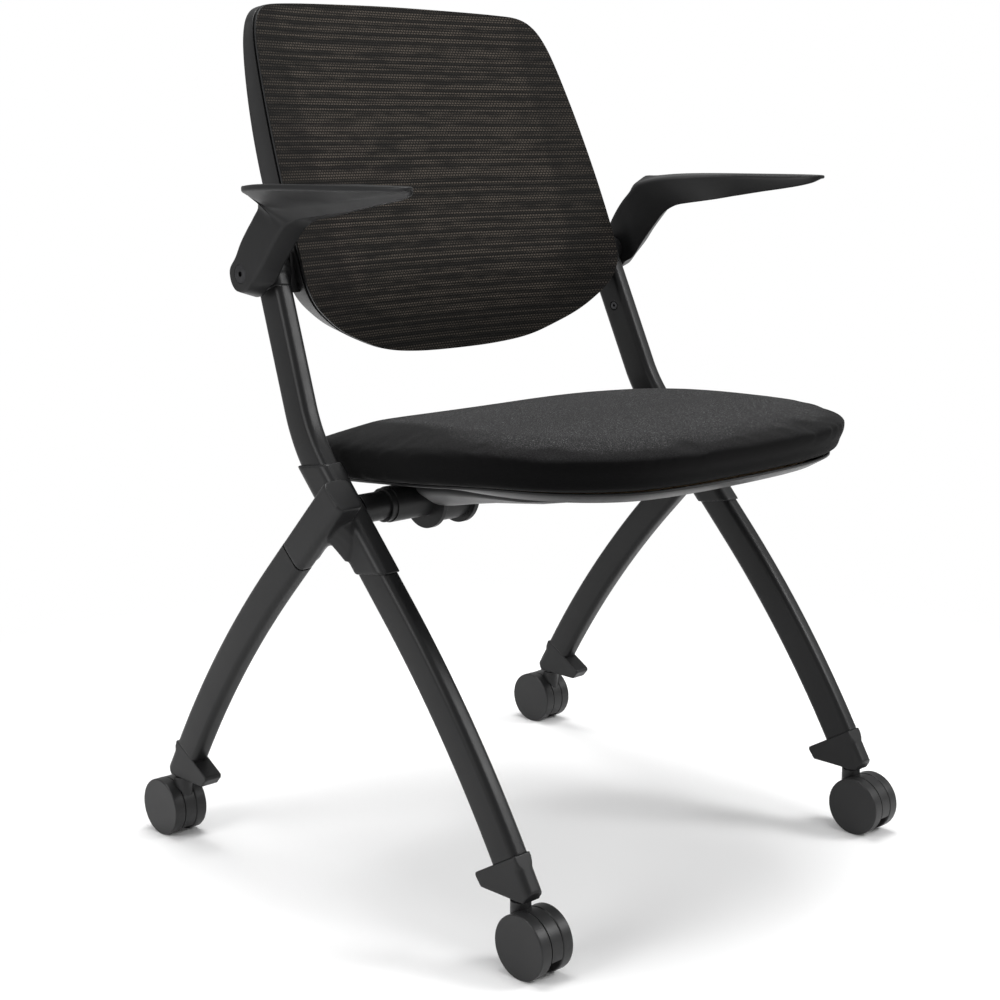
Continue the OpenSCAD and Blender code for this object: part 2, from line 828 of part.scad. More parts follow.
module hinge_housing(s) {
    color(plastic_colour)
        on_side(s)
            difference() {
                union() {
                    translate([0, hinge_y, hinge_z]) {
                        rod_x(housing_sleeve_dia, housing_in_x, housing_out_x);
                        rod_x(housing_body_dia, housing_in_x, housing_ear_x);
                        for (x = [housing_in_x, housing_ear_x - housing_ear_t])
                            rod_x(housing_ear_dia, x, x + housing_ear_t);
                    }
                    translate([housing_in_x, hinge_y - housing_foot_d / 2, hinge_z])
                        cube([housing_ear_x - housing_in_x, housing_foot_d, pan_low_z - hinge_z - snug]);
                }
                translate([0, hinge_y, hinge_z])
                    rod_x(cross_dia + 2 * run, housing_in_x - over, housing_out_x + over);
                translate([0, -housing_ear_dia, pan_low_z - snug])
                    cube([rear_half, 2 * housing_ear_dia, housing_ear_dia]);
                for (p = housing_screw_places)
                    translate([p[0], p[1], housing_screw_low_z])
                        cylinder(d = housing_screw_dia, h = housing_ear_dia);
            }
}

module housing_screws() {
    color(steel_colour)
        for (p = housing_screw_places)
            translate([p[0], p[1], 0]) {
                translate([0, 0, housing_screw_low_z])
                    cylinder(d = housing_screw_dia - 2 * run, h = pan_low_z + pan_t - housing_screw_low_z);
                translate([0, 0, pan_low_z + pan_t])
                    cylinder(d = housing_screw_dia * 2, h = pan_t);
            }
}

// Seat outline seen from above, as shares of half width and depth from front to rear
seat_shares = [
    [0, 0], [0.34, 0.007], [0.58, 0.032], [0.74, 0.08], [0.87, 0.155], [0.95, 0.245],
    [0.99, 0.35], [1, 0.488], [0.962, 0.665], [0.92, 0.798], [0.864, 0.887],
    [0.766, 0.953], [0.596, 0.989], [0.3, 1], [0, 1]
];
// Points made on each stretch of a smooth outline
smooth_steps = 2;

// Smooth curve through four points at share t between the middle two
function curve(a, b, c, d, t) =
    0.5 * ((2 * b) + (c - a) * t + (2 * a - 5 * b + 4 * c - d) * t * t + (3 * b - a - 3 * c + d) * t * t * t);

// Closed outline from a half table: up the +X side and down the mirrored side
function mirrored(half) = concat(half, [for (i = [len(half) - 2 : -1 : 1]) [-half[i][0], half[i][1]]]);

// The same outline with smooth_steps points to each stretch
function smooth(ring) =
    let(n = len(ring))
    [for (i = [0 : n - 1], k = [0 : smooth_steps - 1])
        curve(ring[(i + n - 1) % n], ring[i], ring[(i + 1) % n], ring[(i + 2) % n], k / smooth_steps)];

// Outline moved outward by d along its own normals
function grown(ring, d) =
    let(n = len(ring))
    [for (i = [0 : n - 1])
        let(
            t = ring[(i + 1) % n] - ring[(i + n - 1) % n],
            m = norm(t)
        )
        ring[i] + d * [t[1], -t[0]] / m];

// Solid skin over rings of equal point counts, closed by a fan at each end
module skin(rings, first, last) {
    n = len(rings[0]);
    m = len(rings);
    points = concat([for (r = rings) each r], [first, last]);
    faces = concat(
        [for (j = [0 : m - 2], i = [0 : n - 1]) [j * n + i, (j + 1) * n + i, (j + 1) * n + (i + 1) % n]],
        [for (j = [0 : m - 2], i = [0 : n - 1]) [j * n + i, (j + 1) * n + (i + 1) % n, j * n + (i + 1) % n]],
        [for (i = [0 : n - 1]) [m * n, i, (i + 1) % n]],
        [for (i = [0 : n - 1]) [m * n + 1, (m - 1) * n + (i + 1) % n, (m - 1) * n + i]]
    );
    polyhedron(points, faces, convexity = 6);
}

// Solid ring of a section swept round a closed outline: rings hold the section's points in order
module ring_skin(rings) {
    n = len(rings[0]);
    m = len(rings);
    points = [for (r = rings) each r];
    faces = concat(
        [for (j = [0 : m - 1], i = [0 : n - 1])
            [j * n + i, ((j + 1) % m) * n + i, ((j + 1) % m) * n + (i + 1) % n]],
        [for (j = [0 : m - 1], i = [0 : n - 1])
            [j * n + i, ((j + 1) % m) * n + (i + 1) % n, j * n + (i + 1) % n]]
    );
    polyhedron(points, faces, convexity = 6);
}

seat_outline = smooth(mirrored([for (p = seat_shares) [p[0] * seat_half, seat_front_y + p[1] * seat_depth]]));
seat_mid_y = seat_front_y + seat_depth / 2;

// Length over which a slope sets in
seam_soft = 30;
crown_soft = 60;

// Ramp that rises from nothing at t = 0, softened over w
function ramp(t, w) = (t + sqrt(t * t + w * w)) / 2;

// Height of the side wall's top edge and of its lower edge at depth y
function seam_z(y) = hinge_z + seam_rise - seam_slope * ramp(y - hinge_y + seam_turn, seam_soft);
function low_z(y) = seam_z(y) - side_h;

// Height of the cushion's crown over the floor at (x, y)
function cushion_top(x, y) =
    hinge_z + seam_rise + crown_rise - crown_slope * ramp(y - hinge_y + crown_turn, crown_soft)
    - rear_dish * (1 - pow(x / seat_half, 2)) * max(0, (y - hinge_y) / seat_aft);

// Cushion rings as shares: inset of the seat's half width, and height between seam and crown
cushion_ring_shares = [[0.012, 0.16], [0.04, 0.34], [0.12, 0.62], [0.22, 0.9], [0.32, 0.98], [0.5, 1], [0.72, 1]];
// Side rings below the seam as shares: inset of the half width, and height from the lower edge to the seam
cushion_side_shares = [[0.014, 0.12], [0, 0.5], [-0.004, 0.85], [0, 1]];

function seat_ring(inset, z) = [for (p = grown(seat_outline, -inset)) [p[0], p[1], z]];

function toward_middle(p, share) = [p[0] * (1 - share), seat_mid_y + (p[1] - seat_mid_y) * (1 - share)];

// Ring that follows the cushion's lower edge at the pan's rim, at a drop below it
function rim_ring(drop) = [for (p = grown(seat_outline, -rim_inset)) [p[0], p[1], low_z(p[1]) - drop]];

module seat_cushion() {
    color(fabric_colour)
        skin(
            concat(
                [seat_ring(pan_inset, board_top_z + slip), rim_ring(0)],
                [for (s = cushion_side_shares)
                    [for (p = grown(seat_outline, -s[0] * seat_half)) [p[0], p[1], low_z(p[1]) + s[1] * side_h]]],
                [for (s = cushion_ring_shares)
                    [for (p = seat_outline)
                        let(q = toward_middle(p, s[0]), seam = seam_z(p[1]))
                        [q[0], q[1], seam + (cushion_top(q[0], q[1]) - seam) * s[1]]]]
            ),
            [0, seat_mid_y, board_top_z + slip],
            [0, seat_mid_y, cushion_top(0, seat_mid_y)]
        );
}

// Hinge cover's lower line in the side plane, as shares of its length and depth
cover_shares = [[0, 0], [0.63, 0.55], [1, 1]];

// Hinge cover up to the height top, t inside its outer faces
module cover_form(t, top) {
    intersection() {
        side_plane(-cover_half)
            linear_extrude(2 * cover_half)
                polygon(concat(
                    [for (s = cover_shares)
                        [cover_front_y + cover_len * s[0] - t * floor(s[0]), pan_low_z + t - cover_depth * s[1]]],
                    [[cover_rear_y - t, pan_low_z + cover_depth], [cover_front_y, pan_low_z + cover_depth]]
                ));
        translate([0, cover_rear_y, 0])
            rotate([90, 0, 0])
                linear_extrude(cover_len)
                    polygon(mirrored([
                        [0, pan_low_z + cover_depth],
                        [cover_half - t, pan_low_z + cover_depth],
                        [cover_half - t, pan_low_z - cover_side],
                        [cover_half - cover_taper - t, pan_low_z - cover_depth],
                        [0, pan_low_z - cover_depth]
                    ]));
        translate([0, 0, pan_low_z - cover_depth])
            linear_extrude(cover_depth + top - pan_low_z)
                polygon(grown(seat_outline, -pan_inset - pan_t - t));
    }
}

module seat_pan() {
    color(plastic_colour)
        difference() {
            union() {
                skin(
                    [
                        seat_ring(pan_inset, pan_low_z),
                        rim_ring(pan_t + 2 * slip),
                        rim_ring(2 * slip),
                        seat_ring(pan_inset, pan_low_z + pan_t)
                    ],
                    [0, seat_mid_y, pan_low_z],
                    [0, seat_mid_y, pan_low_z + pan_t]
                );
                difference() {
                    cover_form(0, pan_low_z + cover_lap);
                    cover_form(pan_t, pan_low_z);
                }
            }
            for (p = housing_screw_places)
                translate([p[0], p[1], pan_low_z - over])
                    cylinder(d = housing_screw_dia + 2 * snug, h = pan_t + 2 * over);
            for (p = board_screw_places)
                translate([p[0], p[1], 0]) {
                    translate([0, 0, pan_low_z - cover_depth - over])
                        cylinder(d = board_head_dia + 2 * slip, h = cover_depth + over);
                    translate([0, 0, pan_low_z - over])
                        cylinder(d = board_screw_dia + 2 * snug, h = pan_t + 2 * over);
                }
        }
}

// Board under the foam: sits on the pan's floor
module seat_board() {
    color(board_colour)
        difference() {
            translate([0, 0, pan_low_z + pan_t])
                linear_extrude(board_t)
                    polygon(grown(seat_outline, -pan_inset - board_gap));
            for (p = board_screw_places)
                translate([p[0], p[1], pan_low_z])
                    cylinder(d = board_screw_dia, h = pan_t + board_t - snug);
            for (p = housing_screw_places)
                translate([p[0], p[1], pan_low_z])
                    cylinder(d = housing_screw_dia * 2 + 2 * snug, h = 2 * pan_t + snug);
        }
}

module board_screws() {
    color(steel_colour)
        for (p = board_screw_places)
            translate([p[0], p[1], 0]) {
                translate([0, 0, pan_low_z])
                    cylinder(d = board_screw_dia - 2 * run, h = pan_t + board_t - 2 * snug);
                translate([0, 0, pan_low_z - pan_t])
                    cylinder(d = board_head_dia, h = pan_t);
            }
}

// Back outline seen from the front, as shares of half width and height from the bottom up
back_shares = [
    [0, 0], [0.25, 0.004], [0.46, 0.02], [0.64, 0.056], [0.765, 0.09], [0.865, 0.13], [0.935, 0.168],
    [0.982, 0.215], [1, 0.27], [0.996, 0.41], [0.982, 0.554], [0.96, 0.695], [0.928, 0.836],
    [0.898, 0.91], [0.856, 0.955], [0.79, 0.98], [0.676, 0.989], [0.4, 0.996], [0, 1]
];
back_h = back_above + back_below;
back_outline = smooth(mirrored([for (p = back_shares) [p[0] * back_half, back_low_z + p[1] * back_h]]));

// Front surface of the back: sloped along its height and curved across
function back_front(x, z) =
    back_y
    + back_slope * (sqrt(pow(z - back_bend_z, 2) + back_bend_w * back_bend_w) + z - back_bend_z) / 2
    - (back_curve - sqrt(back_curve * back_curve - x * x));

// Share of the shell's full depth at height z: shallower towards the top edge
function depth_share(z) =
    let(v = (z - back_low_z) / back_h)
    0.75 + 0.25 * min(1, v / 0.2) - 0.62 * pow(max(0, (v - 0.5) / 0.5), 2);

// Share of the relief beside the uprights at height z
function relief_share(z) = let(v = (z - pivot_z - boss_dia) / boss_dia) 1 - min(1, max(0, v));

// Inward set of the shell's side beside the uprights
relief = 4;
// Front of the block that joins the hub to the shell, behind the carrier at the block's top
hub_front_y = back_front(hub_in_x, pivot_z + hub_dia / 2) + shell_front;

// One point of the back at outline place p, moved outward by d and back by depth q
function back_point(ring, i, d, q) =
    let(
        n = len(ring),
        t = ring[(i + 1) % n] - ring[(i + n - 1) % n],
        m = norm(t),
        p = ring[i] + d * [t[1], -t[0]] / m
    )
    [p[0], back_front(p[0], p[1]) + q, p[1]];

module back_shell() {
    color(plastic_colour)
        difference() {
            union() {
                ring_skin([for (i = [0 : len(back_outline) - 1])
                    let(
                        k = shell_depth * depth_share(back_outline[i][1]),
                        r = relief * relief_share(back_outline[i][1])
                    )
                    [
                        back_point(back_outline, i, -snug, shell_front),
                        back_point(back_outline, i, -lip_t - r, shell_front + k),
                        back_point(back_outline, i, -4 * lip_t - r, shell_front + k),
                        back_point(back_outline, i, -shell_border, shell_front + k / 3),
                        back_point(back_outline, i, -shell_border, shell_front),
                        back_point(back_outline, i, -2 * tongue_in, shell_front),
                        back_point(back_outline, i, -2 * tongue_in, tongue_front),
                        back_point(back_outline, i, -groove_w, tongue_front),
                        back_point(back_outline, i, -groove_w, shell_front)
                    ]]);
                for (s = [-1, 1])
                    on_side(s) {
                        translate([0, pivot_y, pivot_z])
                            rod_x(hub_dia, hub_in_x, hub_out_x);
                        translate([hub_in_x, hub_front_y, pivot_z - hub_dia / 2])
                            cube([hub_w - relief / 3, pivot_y - hub_front_y, hub_dia]);
                    }
            }
            for (s = [-1, 1])
                on_side(s)
                    translate([0, pivot_y, pivot_z]) {
                        rod_x(bolt_dia + 4 * run, hub_in_x + lip_t, hub_out_x + over);
                        rod_x(bush_dia, hub_out_x - bush_w, hub_out_x + over);
                    }
        }
}

module pivot_bush(s) {
    color(plastic_colour)
        on_side(s)
            translate([0, pivot_y, pivot_z])
                difference() {
                    rod_x(bush_dia, hub_out_x - bush_w, hub_out_x);
                    rod_x(bolt_dia + 2 * run, hub_out_x - bush_w - over, hub_out_x + over);
                }
}

module mesh_carrier() {
    color(plastic_colour)
        ring_skin([for (i = [0 : len(back_outline) - 1]) [
            back_point(back_outline, i, 0, carrier_front),
            back_point(back_outline, i, 0, carrier_back),
            back_point(back_outline, i, -groove_w, carrier_back),
            back_point(back_outline, i, -2 * tongue_in, carrier_back),
            back_point(back_outline, i, -2 * tongue_in, carrier_front)
        ]]);
}

// Rings of the mesh from its edge to its middle, as shares of the outline
mesh_ring_shares = [1, 0.85, 0.68, 0.5, 0.32, 0.15];
back_mid_z = back_low_z + back_h / 2;

function mesh_ring(share, q) =
    [for (p = back_outline)
        let(x = p[0] * share, z = back_mid_z + (p[1] - back_mid_z) * share)
        [x, back_front(x, z) + q, z]];

module back_mesh() {
    color(mesh_colour)
        skin(
            concat(
                [for (i = [len(mesh_ring_shares) - 1 : -1 : 0]) mesh_ring(mesh_ring_shares[i], 0)],
                [for (s = mesh_ring_shares) mesh_ring(s, mesh_t)]
            ),
            [0, back_front(0, back_mid_z), back_mid_z],
            [0, back_front(0, back_mid_z) + mesh_t, back_mid_z]
        );
}

// Arm outline in the side plane from the bolt, as shares of its reach forward and its rise:
// the lower edge, then the upper edge, at the same stations
arm_low_shares = [
    [0.2, 0.21], [0.262, 0.44], [0.315, 0.55], [0.46, 0.642], [0.66, 0.74], [0.86, 0.83], [0.99, 0.93]
];
arm_high_shares = [
    [0.055, 0.57], [0.115, 0.76], [0.2, 0.865], [0.38, 0.937], [0.64, 0.975], [0.87, 0.997], [1, 1]
];
// Forward set of the stem's outer rear edge at the same stations
arm_notch_shares = [0.05, 0.04, 0.01, 0, 0, 0, 0];
// Shares of the blade's full overhang at the same stations
arm_flare_shares = [0.02, 0.2, 0.6, 0.95, 0.98, 0.72, 0.3];

// Radius of the arm's lower end on its inner face, as a share of the outer one
arm_root_share = 1.3;

// One ring of the arm at station i: outer low, outer edge, outer high, inner high, inner low
function arm_ring(i) =
    let(
        low = arm_low_shares[i],
        high = arm_high_shares[i],
        f = arm_flare_shares[i],
        v = low[0],
        shift = arm_splay * v,
        in_x = arm_in_x + shift + (arm_t * 0.55) * pow(v, 3),
        out_x = arm_face_x + shift * 0.6 + f * (blade_w - arm_t) * (1 - 0.45 * pow(v, 3)),
        edge = (1 - f) * 0.5 + f * 0.2,
        set_back = (1 - f) * 0.3 + f * 0.1,
        yl = pivot_y - low[0] * arm_reach,
        zl = pivot_z + low[1] * arm_rise,
        yh = pivot_y - high[0] * arm_reach,
        zh = pivot_z + high[1] * arm_rise,
        yo = yh - arm_notch_shares[i] * arm_reach
    )
    [
        [arm_face_x + shift * 0.5 - f * arm_t * 0.5, yl + (yh - yl) * set_back, zl + (zh - zl) * set_back],
        [out_x, yo + (yl - yo) * edge, zh + (zl - zh) * edge],
        [out_x, yo, zh],
        [in_x, yh, zh],
        [in_x, yl, zl]
    ];

// Ring inside the arm's round end, from which its stem rises
arm_root = [
    [arm_face_x, pivot_y - arm_end_r * 0.8, pivot_z - arm_end_r * 0.6],
    [arm_face_x, pivot_y, pivot_z],
    [arm_face_x, pivot_y + arm_end_r * 0.5, pivot_z + arm_end_r * 0.75],
    [arm_in_x, pivot_y + arm_end_r * arm_root_share * 0.8, pivot_z + arm_end_r * arm_root_share * 0.6],
    [arm_in_x, pivot_y - arm_end_r * arm_root_share * 0.9, pivot_z - arm_end_r * arm_root_share * 0.8]
];
arm_rings = concat([arm_root], [for (i = [0 : len(arm_low_shares) - 1]) arm_ring(i)]);

// Straight stretch of the arm between two rings
module arm_stretch(a, b) {
    n = len(a);
    hull()
        polyhedron(concat(a, b), concat(
            [[for (i = [0 : n - 1]) i], [for (i = [n - 1 : -1 : 0]) n + i]],
            [for (i = [0 : n - 1]) [i, n + i, n + (i + 1) % n, (i + 1) % n]]
        ));
}

module arm(s) {
    color(plastic_colour)
        on_side(s)
            difference() {
                union() {
                    translate([arm_in_x, pivot_y, pivot_z])
                        rotate([0, 90, 0])
                            cylinder(r1 = arm_end_r * arm_root_share, r2 = arm_end_r, h = arm_t);
                    for (i = [0 : len(arm_rings) - 2])
                        arm_stretch(arm_rings[i], arm_rings[i + 1]);
                }
                translate([0, pivot_y, pivot_z]) {
                    rod_x(bolt_dia + 2 * run, arm_in_x - over, arm_face_x + over);
                    rod_x(bolt_head_dia + 2 * slip, arm_face_x - bolt_head_h - slip, arm_face_x + over);
                }
            }
}

module arm_washers() {
    color(plastic_colour)
        for (s = [-1, 1])
            on_side(s)
                translate([0, pivot_y, pivot_z])
                    difference() {
                        rod_x(boss_dia - 2 * over, pivot_x + knuckle_w / 2 + boss_w, arm_in_x - run);
                        rod_x(bolt_dia + 2 * run, pivot_x, arm_in_x + over);
                    }
}

module arm_bolt(s) {
    color(steel_colour)
        on_side(s)
            translate([0, pivot_y, pivot_z])
                difference() {
                    union() {
                        rod_x(bolt_dia, hub_in_x + lip_t + over, arm_face_x - bolt_head_h + over);
                        rod_x(bolt_head_dia, arm_face_x - bolt_head_h, arm_face_x - snug);
                    }
                    translate([arm_face_x - bolt_head_h + over, 0, 0])
                        rotate([0, 90, 0])
                            cylinder(d = bolt_hex_dia, h = bolt_head_h, $fn = 6);
                }
}

main_tube(1);  // main_tube_left
main_tube(-1);  // main_tube_right
rear_leg(1);  // rear_leg_left
rear_leg(-1);  // rear_leg_right
side_casting(1);  // side_casting_left
side_casting(-1);  // side_casting_right
top_knuckle(1);  // top_knuckle_left
top_knuckle(-1);  // top_knuckle_right
front_foot(1);  // front_foot_left
front_foot(-1);  // front_foot_right
rear_foot(1);  // rear_foot_left
rear_foot(-1);  // rear_foot_right
front_caster(1) stem();  // front_stem_left
front_caster(1) hood();  // front_hood_left
front_caster(1) axle();  // front_axle_left
front_caster(1) wheel(-1);  // front_wheel_inner_left
front_caster(1) wheel(1);  // front_wheel_outer_left
front_caster(-1) stem();  // front_stem_right
front_caster(-1) hood();  // front_hood_right
front_caster(-1) axle();  // front_axle_right
front_caster(-1) wheel(-1);  // front_wheel_inner_right
front_caster(-1) wheel(1);  // front_wheel_outer_right
rear_caster(1) stem();  // rear_stem_left
rear_caster(1) hood();  // rear_hood_left
rear_caster(1) axle();  // rear_axle_left
rear_caster(1) wheel(-1);  // rear_wheel_inner_left
rear_caster(1) wheel(1);  // rear_wheel_outer_left
rear_caster(-1) stem();  // rear_stem_right
rear_caster(-1) hood();  // rear_hood_right
rear_caster(-1) axle();  // rear_axle_right
rear_caster(-1) wheel(-1);  // rear_wheel_inner_right
rear_caster(-1) wheel(1);  // rear_wheel_outer_right
cross_tube();
stop_rings();
hinge_housing(1);  // hinge_housing_left
hinge_housing(-1);  // hinge_housing_right
housing_screws();
seat_pan();
seat_board();
board_screws();
seat_cushion();
back_shell();
mesh_carrier();
back_mesh();
pivot_bush(1);  // pivot_bush_left
pivot_bush(-1);  // pivot_bush_right
arm(1);  // arm_left
arm(-1);  // arm_right
arm_washers();
arm_bolt(1);  // arm_bolt_left
arm_bolt(-1);  // arm_bolt_right
upright_screws();
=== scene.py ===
"""Looks of a nesting chair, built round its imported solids.

Lengths are in millimetres unless a name says otherwise.
"""
import json
import math

import bmesh
import bpy
import numpy as np
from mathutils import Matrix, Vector


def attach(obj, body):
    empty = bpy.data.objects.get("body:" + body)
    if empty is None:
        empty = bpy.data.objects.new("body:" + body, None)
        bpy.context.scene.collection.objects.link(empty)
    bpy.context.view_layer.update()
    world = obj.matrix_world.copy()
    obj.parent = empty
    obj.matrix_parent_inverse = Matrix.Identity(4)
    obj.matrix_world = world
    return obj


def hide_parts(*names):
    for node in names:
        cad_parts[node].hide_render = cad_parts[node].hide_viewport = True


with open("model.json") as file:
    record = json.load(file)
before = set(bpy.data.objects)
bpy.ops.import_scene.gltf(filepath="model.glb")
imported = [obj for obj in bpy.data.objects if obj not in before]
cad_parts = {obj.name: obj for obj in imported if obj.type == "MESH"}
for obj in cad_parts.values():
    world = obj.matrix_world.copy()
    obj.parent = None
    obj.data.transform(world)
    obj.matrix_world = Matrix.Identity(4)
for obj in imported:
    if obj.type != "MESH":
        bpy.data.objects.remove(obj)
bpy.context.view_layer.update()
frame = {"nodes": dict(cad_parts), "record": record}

MM = 0.001

# Driving dimensions, the same as the solids have
HINGE_Y, HINGE_Z = 6, 379
FRONT_HALF, REAR_HALF = 247.3, 276.3
FRONT_LEG_Y, REAR_LEG_Y = 8.6, 2.5
TUBE_W, TUBE_D, TUBE_R = 20, 34.5, 6.5
FRONT_ANGLE, REAR_ANGLE = 42.5, 43.5
FRONT_BOW, REAR_BOW = 1200, 1150
FRONT_SWEEP, REAR_SWEEP = 11.8, 13.1
FRONT_STRAIGHT, REAR_STRAIGHT = 111.14, 98.06
UPRIGHT_BEND, UPRIGHT_TURN, UPRIGHT_LEN = 160, 20.2, 118.5
LEAN_START, LEAN_RUN, LEAN = 47.5, 9.5, 3.9
SLEEVE_W, SLEEVE_D, SLEEVE_LOW, SLEEVE_HIGH, SLEEVE_TILT = 26, 37.7, -57.6, 46.2, 9
STUB_RISE, STUB_LEN, HEAD_W, HEAD_LEN = 32, 60.4, 30.3, 34
PIVOT = Vector((234.12, 129.05, 595.29))
SEAT_HALF, SEAT_FORE, SEAT_AFT = 235, 300, 151
SEAM_RISE, SEAM_SLOPE, SEAM_TURN, SEAM_SOFT = 72, 0.107, 156, 30
CROWN_RISE, CROWN_SLOPE, CROWN_TURN, CROWN_SOFT = 10, 0.13, 40, 60
SIDE_H, REAR_DISH = 30, 4
# The wall's foot tucks in from this share of the way to the front edge
FRONT_TUCK, TUCK_START, TUCK_POWER = 14, 0.35, 1.5
PAN_LOW, PAN_T, PAN_INSET, RIM_INSET = 409, 3, 30, 16
# Foam's underside over the pan's floor, on the seat board
BOARD_RISE = 8.3
# Slack between the pan's rim and the cushion, and width of the pan's flat floor inside its wall
PAN_DROP, PAN_FLOOR = 0.6, 60
COVER_HALF, COVER_TAPER, COVER_SIDE, COVER_DEPTH = 190, 28, 14, 33
BACK_HALF, BACK_LOW, BACK_TOP, BACK_Y = 222, 504, 858, 118.55
BACK_SLOPE, BACK_BEND, BACK_SOFT, BACK_CURVE = 0.4, 585, 20, 800
MESH_T, RIM_D, RIM_W, GROOVE, SLIP = 1, 3, 10, 3, 0.3
# Depths behind the mesh's front: the rim's front, the tongue in the groove and the shell's front
RIM_FRONT = MESH_T + SLIP
TONGUE_FRONT = MESH_T + 2 * SLIP + RIM_D
SHELL_FRONT = RIM_FRONT + RIM_D + GROOVE
SHELL_DEPTH, SHELL_BORDER, LIP, TONGUE_W = 30, 45, 2.5, 11
HUB_DIA, HUB_W, HUB_OUT = 41, 19, 223.3
ARM_IN, ARM_OUT, ARM_IN_R, ARM_OUT_R = 252, 272, 23.5, 17.5
# Round recesses: the upright's screw below its top, the bush in the hub and the bolt's head in the arm
SCREW_DROP, SCREW_DEEP, SCREW_R = 46, 2, 5.2
BUSH_DEEP, BUSH_R = 13, 12.05
BOLT_DEEP, BOLT_R = 4.8, 9
# A cutter stands this far out of the face it goes into
CUT_OVER = 1
# Voxel size and smoothing turns of a fused casting
CAST_VOXEL, CAST_TURNS = 1.1, 11
FINE_VOXEL, KNUCKLE_TURNS, FOOT_TURNS = 0.9, 4, 5

SIDES = (("left", 1), ("right", -1))


# Materials

class Paint:
    """A material's nodes, with short names for the ones used here."""

    def __init__(self, name, colour, roughness):
        self.material = bpy.data.materials.new(name)
        self.material.use_nodes = True
        self.nodes = self.material.node_tree.nodes
        self.links = self.material.node_tree.links
        self.shader = self.nodes["Principled BSDF"]
        self.shader.inputs["Base Color"].default_value = (*colour, 1)
        self.shader.inputs["Roughness"].default_value = roughness
        self.place = self.nodes.new("ShaderNodeTexCoord").outputs["Object"]

    def add(self, kind, inputs=None, **settings):
        node = self.nodes.new("ShaderNode" + kind)
        for key, value in settings.items():
            setattr(node, key, value)
        for key, value in (inputs or {}).items():
            if isinstance(value, bpy.types.NodeSocket):
                self.links.new(value, node.inputs[key])
            else:
                node.inputs[key].default_value = value
        return node

    def math(self, operation, a, b=0.0, c=0.0):
        return self.add("Math", {0: a, 1: b, 2: c}, operation=operation).outputs[0]

    def noise(self, scale, detail=2.0, vector=None):
        inputs = {"Vector": vector or self.place, "Scale": scale, "Detail": detail}
        return self.add("TexNoise", inputs).outputs["Fac"]

    def noise_along(self, value, detail):
        """Noise that changes along one value only."""
        inputs = {"W": value, "Scale": 1.0, "Detail": detail}
        return self.add("TexNoise", inputs, noise_dimensions="1D").outputs["Fac"]

    def scaled(self, x, y, z):
        return self.add("Mapping", {"Vector": self.place, "Scale": (x, y, z)}).outputs["Vector"]

    def ramp(self, factor, low, high, start=0.3, end=0.7):
        node = self.add("ValToRGB", {"Fac": factor})
        node.color_ramp.elements[0].position = start
        node.color_ramp.elements[0].color = (*low, 1)
        node.color_ramp.elements[1].position = end
        node.color_ramp.elements[1].color = (*high, 1)
        return node.outputs["Color"]

    def blended(self, factor, low, high):
        """Colour mix; a Mix node's colour sockets are its sixth and seventh inputs and second output."""
        node = self.nodes.new("ShaderNodeMix")
        node.data_type = "RGBA"
        for socket, value in ((node.inputs[0], factor), (node.inputs[6], low), (node.inputs[7], high)):
            if isinstance(value, bpy.types.NodeSocket):
                self.links.new(value, socket)
            else:
                socket.default_value = value
        return node.outputs[2]

    def stretch(self, value, source, target=(0.0, 1.0), smooth=False):
        """Takes a value from the source range to the target range."""
        inputs = {"Value": value, "From Min": source[0], "From Max": source[1],
                  "To Min": target[0], "To Max": target[1]}
        kind = "SMOOTHSTEP" if smooth else "LINEAR"
        return self.add("MapRange", inputs, interpolation_type=kind).outputs["Result"]

    def set(self, name, socket):
        self.links.new(socket, self.shader.inputs[name])

    def relief(self, height, strength, distance_m, normal=None):
        inputs = {"Height": height, "Strength": strength, "Distance": distance_m}
        if normal:
            inputs["Normal"] = normal
        self.set("Normal", self.add("Bump", inputs).outputs["Normal"])


# Heights of the fine relief, in metres
PAINT_RELIEF, STEEL_RELIEF, PLY_RELIEF, CLOTH_RELIEF, WEAVE_RELIEF = 0.00015, 0.0001, 0.0003, 0.0004, 0.0005
# How much duller and glossier than its mean a moulded surface gets
GLOSSIER, DULLER = 0.05, 0.06


def moulded(name, colour, worn, roughness, edge_mm, grain_scale, grain, specular):
    """Painted metal or moulded plastic: a fine grain, slightly uneven gloss and softened edges."""
    p = Paint(name, colour, roughness)
    p.set("Base Color", p.ramp(p.noise(9, 3), colour, worn, 0.35, 0.75))
    p.set("Roughness", p.stretch(p.noise(55, 3), (0, 1), (roughness - GLOSSIER, roughness + DULLER)))
    p.shader.inputs["Specular IOR Level"].default_value = specular
    soft = p.add("Bevel", {"Radius": edge_mm * MM}, samples=4).outputs["Normal"]
    p.relief(p.noise(grain_scale, 2), grain, PAINT_RELIEF, soft)
    return p.material


FRAME_PAINT = moulded("frame_powder_coat", (0.0075, 0.0075, 0.0078), (0.010, 0.010, 0.0104),
                      roughness=0.36, edge_mm=1.6, grain_scale=2600, grain=0.15, specular=0.22)
CAST_PAINT = moulded("casting_paint", (0.009, 0.009, 0.0094), (0.012, 0.012, 0.0124),
                     roughness=0.4, edge_mm=0.8, grain_scale=2200, grain=0.2, specular=0.24)
PLASTIC = moulded("moulded_plastic", (0.0085, 0.0085, 0.0088), (0.011, 0.011, 0.0114),
                  roughness=0.42, edge_mm=0.7, grain_scale=1800, grain=0.2, specular=0.22)
NYLON = moulded("caster_nylon", (0.013, 0.013, 0.0134), (0.017, 0.017, 0.0174),
                roughness=0.4, edge_mm=0.6, grain_scale=1500, grain=0.2, specular=0.3)
RUBBER = moulded("bush_rubber", (0.006, 0.006, 0.006), (0.009, 0.009, 0.009),
                 roughness=0.7, edge_mm=0.5, grain_scale=900, grain=0.3, specular=0.15)


